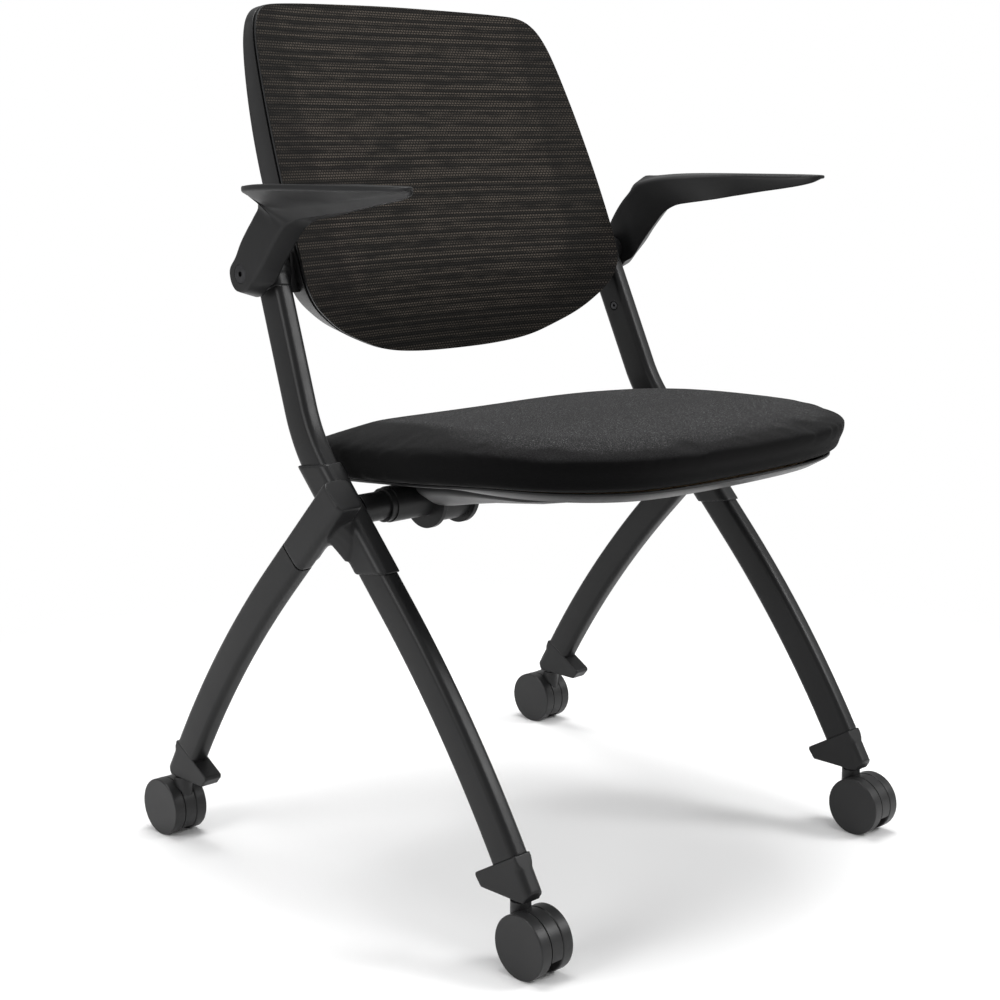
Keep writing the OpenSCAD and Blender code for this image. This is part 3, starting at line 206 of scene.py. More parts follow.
def steel():
    p = Paint("blackened_steel", (0.05, 0.05, 0.052), 0.35)
    p.shader.inputs["Metallic"].default_value = 1
    p.set("Base Color", p.ramp(p.noise(120, 3), (0.035, 0.035, 0.037), (0.07, 0.07, 0.073)))
    p.relief(p.noise(900, 2, p.scaled(0.1, 1, 1)), 0.2, STEEL_RELIEF)
    return p.material


def plywood():
    p = Paint("birch_ply", (0.5, 0.36, 0.22), 0.6)
    grain = p.noise(60, 6, p.scaled(1, 0.12, 6))
    p.set("Base Color", p.ramp(grain, (0.42, 0.28, 0.16), (0.6, 0.45, 0.29), 0.3, 0.75))
    p.relief(grain, 0.3, PLY_RELIEF)
    return p.material


def fabric():
    """Seat cloth: a fine black weave with lighter fibres, painted light on its crown and painted shade on its
    shoulder and sides.
    """
    p = Paint("seat_cloth", (0.01, 0.01, 0.0105), 0.95)
    fine = p.noise(900, 3)
    fleck = p.stretch(p.noise(820, 1, p.scaled(1, 1.3, 1)), (0.6, 0.7))
    # How far the cloth faces up in the seat's own frame, which sets the painted light and shade, so that they
    # go with the seat when it flips
    upward = p.add("SeparateXYZ", {"Vector": p.add("TexCoord").outputs["Normal"]}).outputs["Z"]
    # Painted shade: the shoulder and the sides get darker the further they face away from straight up
    shoulder_shade = p.stretch(upward, (0.965, 0.992), (0.35, 1.0))
    side_shade = p.stretch(upward, (0.35, 0.95))
    light = p.math("MULTIPLY", shoulder_shade, side_shade)
    ground = p.ramp(fine, (0.004, 0.004, 0.0042), (0.024, 0.024, 0.0245), 0.38, 0.64)
    # The lighter fibres show only as far as the painted light reaches
    shown = p.math("MULTIPLY", fleck, p.math("MULTIPLY", light, 0.8))
    flecked = p.blended(shown, ground, (0.17, 0.17, 0.173, 1))
    # The painted light and shade take the cloth's colour down to near black on the sides
    p.set("Base Color", p.blended(light, (0.0015, 0.0015, 0.0016, 1), flecked))
    p.shader.inputs["Sheen Weight"].default_value = 0.03
    p.shader.inputs["Sheen Roughness"].default_value = 0.5
    p.shader.inputs["Specular IOR Level"].default_value = 0.08
    p.relief(fine, 0.4, CLOTH_RELIEF)
    return p.material


# Pitches of the woven back, in metres: threads, stitches along a thread and the bands that threads make
WEFT_PITCH = 0.0026
WARP_PITCH = 0.0038
BAND_PITCH = 0.0092
# Half width and half height of the part where the brown threads show, and the height of its middle
LIT_HALF, LIT_HIGH, LIT_MID = 0.165, 0.158, 0.70
# How far a band strays in height, in metres, how fast and how far the bands wander, how fast their width
# changes, and the even wave's part in them
STRAY, WANDER_SCALE, WANDER_TURNS, UNEVEN_SCALE, WAVE_PART = 0.004, 38, 1.6, 310, 0.22


def weave():
    """Back mesh: dotted brown threads in uneven bands between black ones, and a plain dark border."""
    p = Paint("back_weave", (0.02, 0.018, 0.016), 0.8)
    split = p.add("SeparateXYZ", {"Vector": p.place})
    x, z = split.outputs["X"], split.outputs["Z"]
    row = p.math("MULTIPLY", z, 1 / WEFT_PITCH)
    thread = p.math("POWER", p.math("SINE", p.math("MULTIPLY", p.math("FRACT", row), math.pi)), 1.6)
    # Every second thread has its stitches half a pitch along
    stagger = p.math("MULTIPLY", p.math("MODULO", p.math("FLOOR", row), 2.0), 0.5)
    column = p.math("ADD", p.math("MULTIPLY", x, 1 / WARP_PITCH), stagger)
    # The sum keeps the column above zero on both sides of the middle
    stitch = p.math("SINE", p.math("MULTIPLY", p.math("FRACT", p.math("ADD", column, 256.0)), math.pi))
    # Bands run along the threads, wander a little in height and are uneven in width
    level = p.math("ADD", z, p.math("MULTIPLY", p.math("SUBTRACT", p.noise(5, 1), 0.5), STRAY))
    wander = p.math("MULTIPLY", p.noise_along(p.math("MULTIPLY", level, WANDER_SCALE), 1.0), WANDER_TURNS)
    turn = p.math("ADD", p.math("MULTIPLY", level, 1 / BAND_PITCH), wander)
    wave = p.math("SINE", p.math("MULTIPLY", turn, 2 * math.pi))
    uneven = p.noise_along(p.math("MULTIPLY", level, UNEVEN_SCALE), 2.0)
    patch = p.noise(60, 2, p.scaled(0.5, 1, 3))
    loose = p.math("ADD", p.math("SUBTRACT", uneven, 0.5), p.math("SUBTRACT", patch, 0.5))
    band = p.math("ADD", p.math("MULTIPLY", wave, WAVE_PART), loose)
    lit = p.stretch(band, (-0.26, 0.26), (0.16, 1.0), smooth=True)
    # The brown threads fade out towards the sides and the bottom
    across = p.math("POWER", p.math("ABSOLUTE", p.math("MULTIPLY", x, 1 / LIT_HALF)), 4.0)
    upright = p.math("MULTIPLY", p.math("SUBTRACT", z, LIT_MID), 1 / LIT_HIGH)
    lower = p.math("POWER", p.math("ABSOLUTE", p.math("MINIMUM", upright, 0.0)), 4.0)
    edge = p.stretch(p.math("ADD", across, lower), (0.85, 1.15), (1.0, 0.6), smooth=True)
    dots = p.math("MULTIPLY", thread, p.stretch(stitch, (0.25, 0.9), (0.08, 1.0)))
    shown = p.math("MULTIPLY", p.math("MULTIPLY", dots, lit), edge)
    p.set("Base Color", p.blended(shown, (0.0034, 0.0032, 0.003, 1), (0.078, 0.065, 0.053, 1)))
    p.shader.inputs["Specular IOR Level"].default_value = 0.12
    p.relief(dots, 0.5, WEAVE_RELIEF)
    return p.material


# Distance from the chair's middle over which the floor fades, in metres
FADE_START, FADE_END = 0.45, 1.1


def floor_paint():
    """White floor that keeps the chair's shadow near it and fades into the white background further out."""
    p = Paint("studio_floor", (0.94, 0.94, 0.94), 0.9)
    p.set("Base Color", p.ramp(p.noise(3, 2), (0.935, 0.935, 0.935), (0.945, 0.945, 0.945)))
    p.shader.inputs["Specular IOR Level"].default_value = 0.05
    far = p.add("VectorMath", {0: p.place}, operation="LENGTH").outputs["Value"]
    fade = p.stretch(far, (FADE_START, FADE_END), smooth=True)
    plain = p.add("Emission", {"Color": (1, 1, 1, 1), "Strength": 1.0})
    seen = p.add("LightPath").outputs["Is Camera Ray"]
    share = p.math("MULTIPLY", fade, seen)
    mix = p.add("MixShader", {0: share, 1: p.shader.outputs["BSDF"], 2: plain.outputs["Emission"]})
    p.links.new(mix.outputs["Shader"], p.nodes["Material Output"].inputs["Surface"])
    return p.material


STEEL, PLY, CLOTH, WEAVE = steel(), plywood(), fabric(), weave()

LOOKS = {
    "frame_paint": FRAME_PAINT, "moulded_plastic": PLASTIC, "caster_plastic": NYLON, "back_mesh": WEAVE,
    "seat_fabric": CLOTH, "plywood": PLY, "dark_steel": STEEL, "rubber": RUBBER,
}
for row in frame["record"]["subparts"]:
    node = frame["nodes"][row["node"]]
    node.data.materials.clear()
    node.data.materials.append(LOOKS[row["material_slot"]])


# Mesh building

def piece(name, points, faces, body, slot, replaced=(), material=None, sharp_deg=40, mirror=False):
    """A mesh from points in millimetres that rides on a body and stands for the replaced nodes."""
    side = -1 if mirror else 1
    mesh = bpy.data.meshes.new(name)
    mesh.from_pydata([(side * p[0] * MM, p[1] * MM, p[2] * MM) for p in points], [], faces)
    bm = bmesh.new()
    bm.from_mesh(mesh)
    bmesh.ops.remove_doubles(bm, verts=bm.verts, dist=0.01 * MM)
    bmesh.ops.recalc_face_normals(bm, faces=bm.faces)
    bm.to_mesh(mesh)
    bm.free()
    mesh.polygons.foreach_set("use_smooth", [True] * len(mesh.polygons))
    mesh.set_sharp_from_angle(angle=math.radians(sharp_deg))
    mesh.materials.append(material or LOOKS[slot])
    obj = bpy.data.objects.new(name, mesh)
    bpy.context.scene.collection.objects.link(obj)
    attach(obj, body)
    if replaced:
        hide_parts(*replaced)
    return obj


def loft(rings, loop=False, start=True, end=True):
    """Points and faces of a skin over closed rings; loop joins the last ring to the first."""
    n, m = len(rings[0]), len(rings)
    points = [p for ring in rings for p in ring]
    faces = [(j * n + i, j * n + (i + 1) % n, (j + 1) % m * n + (i + 1) % n, (j + 1) % m * n + i)
             for j in range(m if loop else m - 1) for i in range(n)]
    if not loop and start:
        faces.append(tuple(range(n - 1, -1, -1)))
    if not loop and end:
        faces.append(tuple((m - 1) * n + i for i in range(n)))
    return points, faces


def joined(*parts):
    """Several point and face lists as one."""
    points, faces = [], []
    for p, f in parts:
        faces += [tuple(i + len(points) for i in face) for face in f]
        points += list(p)
    return points, faces


def round_corners(corners, steps=5):
    """Closed ring of points with each corner rounded by its own radius."""
    out = []
    n = len(corners)
    for i in range(n):
        here = Vector(corners[i][:3])
        before, after = Vector(corners[i - 1][:3]) - here, Vector(corners[(i + 1) % n][:3]) - here
        cut_a = min(corners[i][3], before.length * 0.45)
        cut_b = min(corners[i][3], after.length * 0.45)
        a, b = here + before.normalized() * cut_a, here + after.normalized() * cut_b
        for k in range(steps + 1):
            t = k / steps
            out.append(tuple(a * (1 - t) ** 2 + here * 2 * t * (1 - t) + b * t * t))
    return out


def cut(obj, points, faces):
    """Takes a closed shape out of a piece."""
    mesh = bpy.data.meshes.new("cutter")
    mesh.from_pydata([tuple(c * MM for c in p) for p in points], [], faces)
    tool = bpy.data.objects.new("cutter", mesh)
    bpy.context.scene.collection.objects.link(tool)
    step = obj.modifiers.new("cut", "BOOLEAN")
    step.operation, step.object, step.solver = "DIFFERENCE", tool, "EXACT"
    bpy.context.view_layer.update()
    result = bpy.data.meshes.new_from_object(obj.evaluated_get(bpy.context.evaluated_depsgraph_get()))
    obj.modifiers.clear()
    obj.data = result
    bpy.data.objects.remove(tool)
    obj.data.polygons.foreach_set("use_smooth", [True] * len(obj.data.polygons))
    obj.data.set_sharp_from_angle(angle=math.radians(40))


def section(a, b, r, steps=6):
    """Rounded rectangle a by b as points (u, w)."""
    out = []
    for q in range(4):
        i = 1 if q in (0, 3) else -1
        j = 1 if q < 2 else -1
        for k in range(steps + 1):
            t = math.radians(90 * q + 90 * k / steps)
            out.append((i * (a / 2 - r) + r * math.cos(t), j * (b / 2 - r) + r * math.sin(t)))
    return out


def rod(axis_point, x0, x1, r0, r1=None, edge=0.6, count=64):
    """Closed cylinder or cone along X round a point, with softened rims."""
    r1 = r0 if r1 is None else r1
    stops = [(x0, max(r0 - edge, 0.01)), (x0 + edge * 0.3, r0 - edge * 0.3), (x0 + edge, r0),
             (x1 - edge, r1), (x1 - edge * 0.3, r1 - edge * 0.3), (x1, max(r1 - edge, 0.01))]
    turns = [2 * math.pi * k / count for k in range(count)]
    y, z = axis_point[1], axis_point[2]
    return loft([[(x, y + r * math.cos(t), z + r * math.sin(t)) for t in turns] for x, r in stops])


def recess(obj, axis_point, x_in, x_out, radius, s):
    """Takes a round hole along X out of a piece on side s, between two distances from the middle."""
    x0, x1 = sorted((s * x_in, s * x_out))
    cut(obj, *rod(axis_point, x0, x1, radius, edge=0.01))


def cubic(a, b, c, d, t):
    """Smooth curve through four values, at share t between the middle two."""
    bend = 2 * a - 5 * b + 4 * c - d
    return 0.5 * (2 * b + (c - a) * t + bend * t * t + (3 * b - a - 3 * c + d) * t ** 3)


def smooth_loop(values, steps):
    """A closed list of points with steps points to each stretch."""
    v = np.array(values, float)
    n = len(v)
    return np.array([cubic(v[i - 1], v[i], v[(i + 1) % n], v[(i + 2) % n], k / steps)
                     for i in range(n) for k in range(steps)])


def smooth_line(values, steps):
    """An open list of points with steps points to each stretch."""
    v = np.array(values, float)
    v = np.concatenate([[2 * v[0] - v[1]], v, [2 * v[-1] - v[-2]]])
    line = [cubic(v[i - 1], v[i], v[i + 1], v[i + 2], k / steps)
            for i in range(1, len(v) - 2) for k in range(steps)]
    return np.array(line + [v[-2]])


def mirrored(half):
    """Closed outline from a half table that starts and ends on the centre line."""
    return [tuple(p) for p in half] + [(-p[0], p[1]) for p in reversed(half[1:-1])]


def grown(ring, distance):
    """A closed 2-D outline moved outward by distance."""
    ring = np.asarray(ring, float)
    along = np.roll(ring, -1, 0) - np.roll(ring, 1, 0)
    normal = np.stack([along[:, 1], -along[:, 0]], 1) / np.linalg.norm(along, axis=1)[:, None]
    return ring + distance * normal


def sin(degrees):
    return math.sin(math.radians(degrees))


def cos(degrees):
    return math.cos(math.radians(degrees))


# Side frames

def front_point(a, b, c):
    return (FRONT_HALF + c, FRONT_LEG_Y + a * sin(FRONT_ANGLE) - b * cos(FRONT_ANGLE),
            HINGE_Z + a * cos(FRONT_ANGLE) + b * sin(FRONT_ANGLE))


def lean_point(a, b, c):
    return front_point(LEAN_START + a * cos(LEAN) + c * sin(LEAN), b, c * cos(LEAN) - a * sin(LEAN))


def rear_point(a, b, c):
    return (REAR_HALF + c, REAR_LEG_Y + a * sin(REAR_ANGLE) + b * cos(REAR_ANGLE),
            HINGE_Z - a * cos(REAR_ANGLE) + b * sin(REAR_ANGLE))


LEG_STEPS, BEND_STEPS = 24, 16
# Place of the ring between the bow and the casting, as a share of the straight stretch
FRONT_MIDDLE, REAR_MIDDLE = 0.3, 0.9


def upright_point(a, u, w):
    """Point of the upright above its bend: a along it, u across it in the side plane, w outward."""
    g = UPRIGHT_TURN
    return lean_point(LEAN_RUN + (UPRIGHT_BEND - u) * sin(g) + a * cos(g),
                      UPRIGHT_BEND - (UPRIGHT_BEND - u) * cos(g) + a * sin(g), w)


def front_leg():
    """Front leg and upright: bowed leg, straight stretch through the casting, lean, bend and upright."""
    shape = section(TUBE_D, TUBE_W, TUBE_R)
    rings = []
    for k in range(LEG_STEPS + 1):
        g = FRONT_SWEEP * (1 - k / LEG_STEPS)
        rings.append([front_point(-FRONT_STRAIGHT - (FRONT_BOW + u) * sin(g),
                                  (FRONT_BOW + u) * cos(g) - FRONT_BOW, w) for u, w in shape])
    rings.append([front_point(-FRONT_STRAIGHT * FRONT_MIDDLE, u, w) for u, w in shape])
    rings.append([front_point(LEAN_START + w * math.tan(math.radians(LEAN / 2)), u, w) for u, w in shape])
    for k in range(BEND_STEPS + 1):
        g = UPRIGHT_TURN * k / BEND_STEPS
        rings.append([lean_point(LEAN_RUN + (UPRIGHT_BEND - u) * sin(g),
                                 UPRIGHT_BEND - (UPRIGHT_BEND - u) * cos(g), w) for u, w in shape])
    rings.append([upright_point(UPRIGHT_LEN, u, w) for u, w in shape])
    return loft(rings)


def rear_leg():
    """Rear leg below the casting's seam."""
    shape = section(TUBE_D, TUBE_W, TUBE_R)
    rings = [[rear_point(a, u, w) for u, w in shape]
             for a in (STUB_LEN + SLIP, STUB_LEN + 1, REAR_STRAIGHT * REAR_MIDDLE)]
    for k in range(LEG_STEPS + 1):
        g = REAR_SWEEP * k / LEG_STEPS
        rings.append([rear_point(REAR_STRAIGHT + (REAR_BOW + u) * sin(g),
                                 (REAR_BOW + u) * cos(g) - REAR_BOW, w) for u, w in shape])
    return loft(rings)


def fused(name, parts, body, slot, replaced, voxel_mm, turns, material=None, mirror=False):
    """Closed shapes grown into one casting with soft edges and fillets."""
    obj = piece(name, *joined(*parts), body, slot, replaced, material=material, mirror=mirror)
    grow = obj.modifiers.new("grow", "REMESH")
    grow.mode, grow.voxel_size = "VOXEL", voxel_mm * MM
    soften = obj.modifiers.new("soften", "SMOOTH")
    soften.factor, soften.iterations = 0.5, turns
    bpy.context.view_layer.update()
    result = bpy.data.meshes.new_from_object(obj.evaluated_get(bpy.context.evaluated_depsgraph_get()))
    obj.modifiers.clear()
    obj.data = result
    result.polygons.foreach_set("use_smooth", [True] * len(result.polygons))
    return obj


# Web between sleeve and stub: outlines in the side plane round the hinge, at three distances from the middle
WEB = (
    (250, ((-22, -44), (-12, -36), (-4, -29), (4, -21), (10, -14),
           (14, -8), (12, 4), (0, 14), (-14, 18), (-26, -20))),
    (263, ((-18, -43), (-10, -35), (-2, -30.5), (6, -31), (14, -37.5),
           (23, -47), (28, -44), (8, 8), (-14, 18), (-26, -16))),
    (273, ((-6, -22), (-4, -24), (0, -26), (8, -33), (17, -42),
           (26, -52), (34, -48), (10, 6), (-10, 16), (-18, -4))),
)
SLEEVE_R = TUBE_R + 1.5


def casting_parts():
    """Sleeve round the front leg, capped stub of the rear leg, and the web between them."""
    shape = section(SLEEVE_D, SLEEVE_W, SLEEVE_R)
    # The sleeve's ends lie in planes tilted toward the front
    n_y, n_z = sin(SLEEVE_TILT), cos(SLEEVE_TILT)
    sleeve = []
    for height in (SLEEVE_LOW, SLEEVE_LOW * 0.5, 0, SLEEVE_HIGH * 0.5, SLEEVE_HIGH):
        ring = []
        for u, w in shape:
            set_off = n_y * (FRONT_LEG_Y - HINGE_Y) + u * (n_z * sin(FRONT_ANGLE) - n_y * cos(FRONT_ANGLE))
            a = (height - set_off) / (n_y * sin(FRONT_ANGLE) + n_z * cos(FRONT_ANGLE))
            ring.append(front_point(a, u, w))
        sleeve.append(ring)
    shape = section(TUBE_D, TUBE_W, TUBE_R)
    stub = [[rear_point(a, u, w) for u, w in shape] for a in (-STUB_RISE, 0, STUB_LEN)]
    shape = section(TUBE_D, HEAD_W, TUBE_R)
    head = [[rear_point(a, u, w + (TUBE_W - HEAD_W) / 2) for u, w in shape]
            for a in (-STUB_RISE, -STUB_RISE / 2, HEAD_LEN - STUB_RISE)]
    web = [[(x, HINGE_Y + y, HINGE_Z + z) for y, z in smooth_loop(outline, 3)] for x, outline in WEB]
    return loft(sleeve), loft(stub), loft(head), loft(web)


def from_node(name, replaced, slot, voxel_mm, turns, body, material=None):
    """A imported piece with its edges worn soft, as a casting or moulding has."""
    node = frame["nodes"][replaced]
    points = [tuple(c / MM for c in node.matrix_world @ v.co) for v in node.data.vertices]
    faces = [tuple(f.vertices) for f in node.data.polygons]
    return fused(name, [(points, faces)], body, slot, [replaced], voxel_mm, turns, material)


for side, s in SIDES:
    leg = piece("leg_front_" + side, *front_leg(), "frame", "frame_paint", ["main_tube_" + side],
                mirror=s < 0)
    screw = upright_point(UPRIGHT_LEN - SCREW_DROP, 0, -TUBE_W / 2)
    recess(leg, screw, screw[0] - SCREW_DEEP, screw[0] + SCREW_DEEP, SCREW_R, s)
    piece("leg_rear_" + side, *rear_leg(), "frame", "frame_paint", ["rear_leg_" + side], mirror=s < 0)
    fused("casting_" + side, casting_parts(), "frame", "frame_paint", ["side_casting_" + side],
          CAST_VOXEL, CAST_TURNS, CAST_PAINT, s < 0)
    from_node("knuckle_" + side, "top_knuckle_" + side, "frame_paint", FINE_VOXEL, KNUCKLE_TURNS, "frame",
              CAST_PAINT)
    for end in ("front", "rear"):
        from_node("foot_" + end + "_" + side, end + "_foot_" + side, "frame_paint", FINE_VOXEL, FOOT_TURNS,
                  "frame", CAST_PAINT)


# Seat

# Seat's outline from the front's middle to the rear's, in shares of the half width and of the depth
SEAT_HALF_SHARES = [
    (0, 0), (0.34, 0.007), (0.58, 0.032), (0.74, 0.08), (0.87, 0.155), (0.95, 0.245), (0.99, 0.35),
    (1, 0.488), (0.962, 0.665), (0.92, 0.798), (0.864, 0.887), (0.766, 0.953), (0.596, 0.989),
    (0.3, 1), (0, 1),
]
# Points drawn for each point of the seat's and the back's outline
OUTLINE_STEPS = 6
SEAT_FRONT, SEAT_DEPTH = HINGE_Y - SEAT_FORE, SEAT_FORE + SEAT_AFT
SEAT_OUTLINE = smooth_loop(
    mirrored([(x * SEAT_HALF, SEAT_FRONT + y * SEAT_DEPTH) for x, y in SEAT_HALF_SHARES]), OUTLINE_STEPS)
SEAT_MID = SEAT_FRONT + SEAT_DEPTH / 2


def ramp(t, soft):
    """Zero before t = 0 and t after it, with a soft turn."""
    return (t + math.sqrt(t * t + soft * soft)) / 2


def seam_z(y):
    """Height of the cushion's seam, which falls toward the rear behind its turn."""
    return HINGE_Z + SEAM_RISE - SEAM_SLOPE * ramp(y - HINGE_Y + SEAM_TURN, SEAM_SOFT)


def low_z(y):
    """Height of the cushion's lower edge."""
    return seam_z(y) - SIDE_H


def seat_top(x, y):
    """Height of the cushion's crown, dished towards the rear."""
    dish = REAR_DISH * (1 - (x / SEAT_HALF) ** 2) * max(0, (y - HINGE_Y) / SEAT_AFT)
    return HINGE_Z + SEAM_RISE + CROWN_RISE - CROWN_SLOPE * ramp(y - HINGE_Y + CROWN_TURN, CROWN_SOFT) - dish


def front_tuck(y, share):
    """How far the wall at this share of its height lies behind the outline, most at the front's foot."""
    ahead = -(y - SEAT_MID) / (SEAT_DEPTH / 2)
    return FRONT_TUCK * (1 - share) ** TUCK_POWER * min(1, max(0, ahead - TUCK_START) / (1 - TUCK_START))


# Cushion's section as pairs: inset in shares of the half width, and height in shares of the wall or the crown
WALL = ((0.03, 0.02), (0.014, 0.08), (0.004, 0.2), (0, 0.4), (-0.003, 0.65), (-0.003, 0.85), (0, 0.96))
CROWN = ((0.006, 0.1), (0.02, 0.2), (0.05, 0.35), (0.09, 0.52), (0.14, 0.7), (0.19, 0.86), (0.225, 0.95),
         (0.245, 0.975), (0.3, 0.985), (0.42, 0.995), (0.55, 1), (0.7, 1), (0.85, 1), (0.95, 1))


def cushion():
    rings = [[(x, y, PAN_LOW + PAN_T + BOARD_RISE) for x, y in grown(SEAT_OUTLINE, -PAN_INSET)],
             [(x, y, low_z(y)) for x, y in grown(SEAT_OUTLINE, -RIM_INSET)]]
    for inset, share in WALL:
        tuck = [front_tuck(y, share) for x, y in SEAT_OUTLINE]
        rings.append([(x, y + d, low_z(y) + share * SIDE_H)
                      for (x, y), d in zip(grown(SEAT_OUTLINE, -inset * SEAT_HALF), tuck)])
    for inset, share in CROWN:
        ring = []
        for x, y in SEAT_OUTLINE:
            qx, qy, seam = x * (1 - inset), SEAT_MID + (y - SEAT_MID) * (1 - inset), seam_z(y)
            ring.append((qx, qy, seam + (seat_top(qx, qy) - seam) * share))
        rings.append(ring)
    return loft(rings)


def pan():
    """Dished tray: flat floor, flared wall and a rim with softened edges under the cushion."""
    soft, upper_soft, foot, foot_r = 0.8, 0.7, 1, 5
    floor_in, foot_in = PAN_INSET + PAN_FLOOR, PAN_INSET + foot
    rings = [[(x, y, z) for x, y in grown(SEAT_OUTLINE, -inset)] for inset, z in
             ((floor_in, PAN_LOW), (foot_in + foot_r, PAN_LOW), (foot_in, PAN_LOW + 0.1))]
    for inset, down in ((RIM_INSET + soft, PAN_T), (RIM_INSET, PAN_T - soft), (RIM_INSET, upper_soft),
                        (RIM_INSET + soft, 0)):
        rings.append([(x, y, low_z(y) - PAN_DROP - down) for x, y in grown(SEAT_OUTLINE, -inset)])
    rings += [[(x, y, PAN_LOW + PAN_T) for x, y in grown(SEAT_OUTLINE, -inset)]
              for inset in (foot_in, floor_in)]
    return loft(rings)


# Hinge cover's lower line: place along Y and depth under the pan's floor
COVER_LINE = ((-250, 0.4), (-236, 1.5), (-202, 5), (-168, 10), (-137, 14), (-107, 18.1), (-67, 25.5),
              (-40, 31.3), (-30, 32.8), (-27, 31))


def outline_half(y):
    """Half width of the seat's outline at depth y, ahead of its widest place."""
    side = sorted((py, px) for px, py in SEAT_OUTLINE if px >= 0 and py < SEAT_MID)
    return float(np.interp(y, [v[0] for v in side], [v[1] for v in side]))


def hinge_cover():
    """Shallow box under the pan that deepens toward the hinge."""
    over, fine = 1.5, 0.1
    top = PAN_LOW + over
    rings = []
    for y, depth in COVER_LINE:
        share = depth / COVER_DEPTH
        half = min(COVER_HALF, outline_half(y - PAN_INSET) - PAN_INSET)
        low, side = PAN_LOW - depth, PAN_LOW - COVER_SIDE * share
        side_r, low_r = 8 * share + fine, 18 * share + fine
        rings.append(round_corners([
            (-half, y, top, fine), (-half, y, side, side_r), (-half + COVER_TAPER, y, low, low_r),
            (half - COVER_TAPER, y, low, low_r), (half, y, side, side_r), (half, y, top, fine)]))
    return loft(rings)


# Cloth step, in metres: voxel size, how far the cover may fill out, and the height over which it comes free
CLOTH_VOXEL, PUFF_LIMIT, HOLD_RUN = 0.005, 0.0025, 0.008
CLOTH_FRAMES = 20
# Height over the cushion's lower edge up to which the cover is held
HOLD_START = 4


def puffed(obj):
    """Cloth-simulated pad: the free faces fill out a little and settle between the pan and the seam."""
    copy = obj.copy()
    copy.data = obj.data.copy()
    bpy.context.scene.collection.objects.link(copy)
    grow = copy.modifiers.new("grow", "REMESH")
    grow.mode, grow.voxel_size = "VOXEL", CLOTH_VOXEL
    bpy.context.view_layer.update()
    copy.data = bpy.data.meshes.new_from_object(copy.evaluated_get(bpy.context.evaluated_depsgraph_get()))
    copy.modifiers.clear()
    rest = np.array([v.co for v in copy.data.vertices])
    cloth = copy.modifiers.new("cloth", "CLOTH")
    cloth.settings.quality = 5
    cloth.settings.mass = 0.3
    cloth.settings.tension_stiffness = cloth.settings.compression_stiffness = 25
    cloth.settings.bending_stiffness = 6
    cloth.settings.use_pressure = True
    cloth.settings.uniform_pressure_force = 4
    cloth.settings.effector_weights.gravity = 0
    cloth.point_cache.frame_start, cloth.point_cache.frame_end = 1, CLOTH_FRAMES
    for number in range(1, CLOTH_FRAMES + 1):
        bpy.context.scene.frame_set(number)
    result = bpy.data.meshes.new_from_object(copy.evaluated_get(bpy.context.evaluated_depsgraph_get()))
    moved = np.array([v.co for v in result.vertices]) - rest
    bpy.context.scene.frame_set(1)
    bpy.data.objects.remove(copy)
    length = np.linalg.norm(moved, axis=1)
    moved *= (np.minimum(length, PUFF_LIMIT) / np.maximum(length, 1e-9))[:, None]
    # The underside rests on the pan and stays in its place
    foot = (np.array([low_z(y / MM) for y in rest[:, 1]]) + HOLD_START) * MM
    free = np.clip((rest[:, 2] - foot) / HOLD_RUN, 0, 1)
    done = rest + moved * free[:, None]
    result.vertices.foreach_set("co", done.ravel())
    obj.data = result
    obj.data.materials.clear()
    obj.data.materials.append(CLOTH)
    fine = obj.modifiers.new("fine", "SUBSURF")
    fine.levels = fine.render_levels = 1
    bpy.context.view_layer.update()
    obj.data = bpy.data.meshes.new_from_object(obj.evaluated_get(bpy.context.evaluated_depsgraph_get()))
    obj.modifiers.clear()
    obj.data.polygons.foreach_set("use_smooth", [True] * len(obj.data.polygons))


seat_pad = piece("seat_pad", *cushion(), "seat", "seat_fabric", ["seat_cushion"], sharp_deg=60)
puffed(seat_pad)
piece("seat_tray", *joined(pan(), hinge_cover()), "seat", "moulded_plastic", ["seat_pan"])


# Back

# Back's outline from the foot's middle to the top's, in shares of the half width and of the height
BACK_HALF_SHARES = [
    (0, 0), (0.25, 0.004), (0.46, 0.02), (0.64, 0.056), (0.765, 0.09), (0.865, 0.13), (0.935, 0.168),
    (0.982, 0.215), (1, 0.27), (0.996, 0.41), (0.982, 0.554), (0.96, 0.695), (0.928, 0.836),
    (0.898, 0.91), (0.856, 0.955), (0.79, 0.98), (0.676, 0.989), (0.4, 0.996), (0, 1),
]
BACK_H = BACK_TOP - BACK_LOW
BACK_OUTLINE = smooth_loop(
    mirrored([(x * BACK_HALF, BACK_LOW + z * BACK_H) for x, z in BACK_HALF_SHARES]), OUTLINE_STEPS)
BACK_MID = BACK_LOW + BACK_H / 2


def back_front(x, z):
    """Place along Y of the mesh's front face: it leans back above its bend and is curved across."""
    slope = BACK_SLOPE * (math.sqrt((z - BACK_BEND) ** 2 + BACK_SOFT ** 2) + z - BACK_BEND) / 2
    return BACK_Y + slope - (BACK_CURVE - math.sqrt(BACK_CURVE ** 2 - x * x))


def depth_share(z):
    """Shell's depth at height z as a share of its full depth: shallow at the top, less at the foot."""
    v = (z - BACK_LOW) / BACK_H
    return 0.75 + 0.25 * min(1, v / 0.2) - 0.62 * max(0, (v - 0.5) / 0.5) ** 2


# The shell's side steps in by this much beside the arms, over this height above the pivot
RELIEF, RELIEF_RUN = 4, 32


def relief_share(z):
    return 1 - min(1, max(0, (z - PIVOT[2] - RELIEF_RUN) / RELIEF_RUN))


def back_ring(inset, depth):
    return [(x, back_front(x, z) + depth, z) for x, z in grown(BACK_OUTLINE, -inset)]


PANEL_STEPS = 12


def weave_panel():
    outward = [k / PANEL_STEPS for k in range(1, PANEL_STEPS + 1)]
    rings = []
    for depth, shares in ((0, outward), (MESH_T, outward[::-1])):
        for share in shares:
            ring = [(x * share, BACK_MID + (z - BACK_MID) * share) for x, z in BACK_OUTLINE]
            rings.append([(x, back_front(x, z) + depth, z) for x, z in ring])
    return loft(rings)


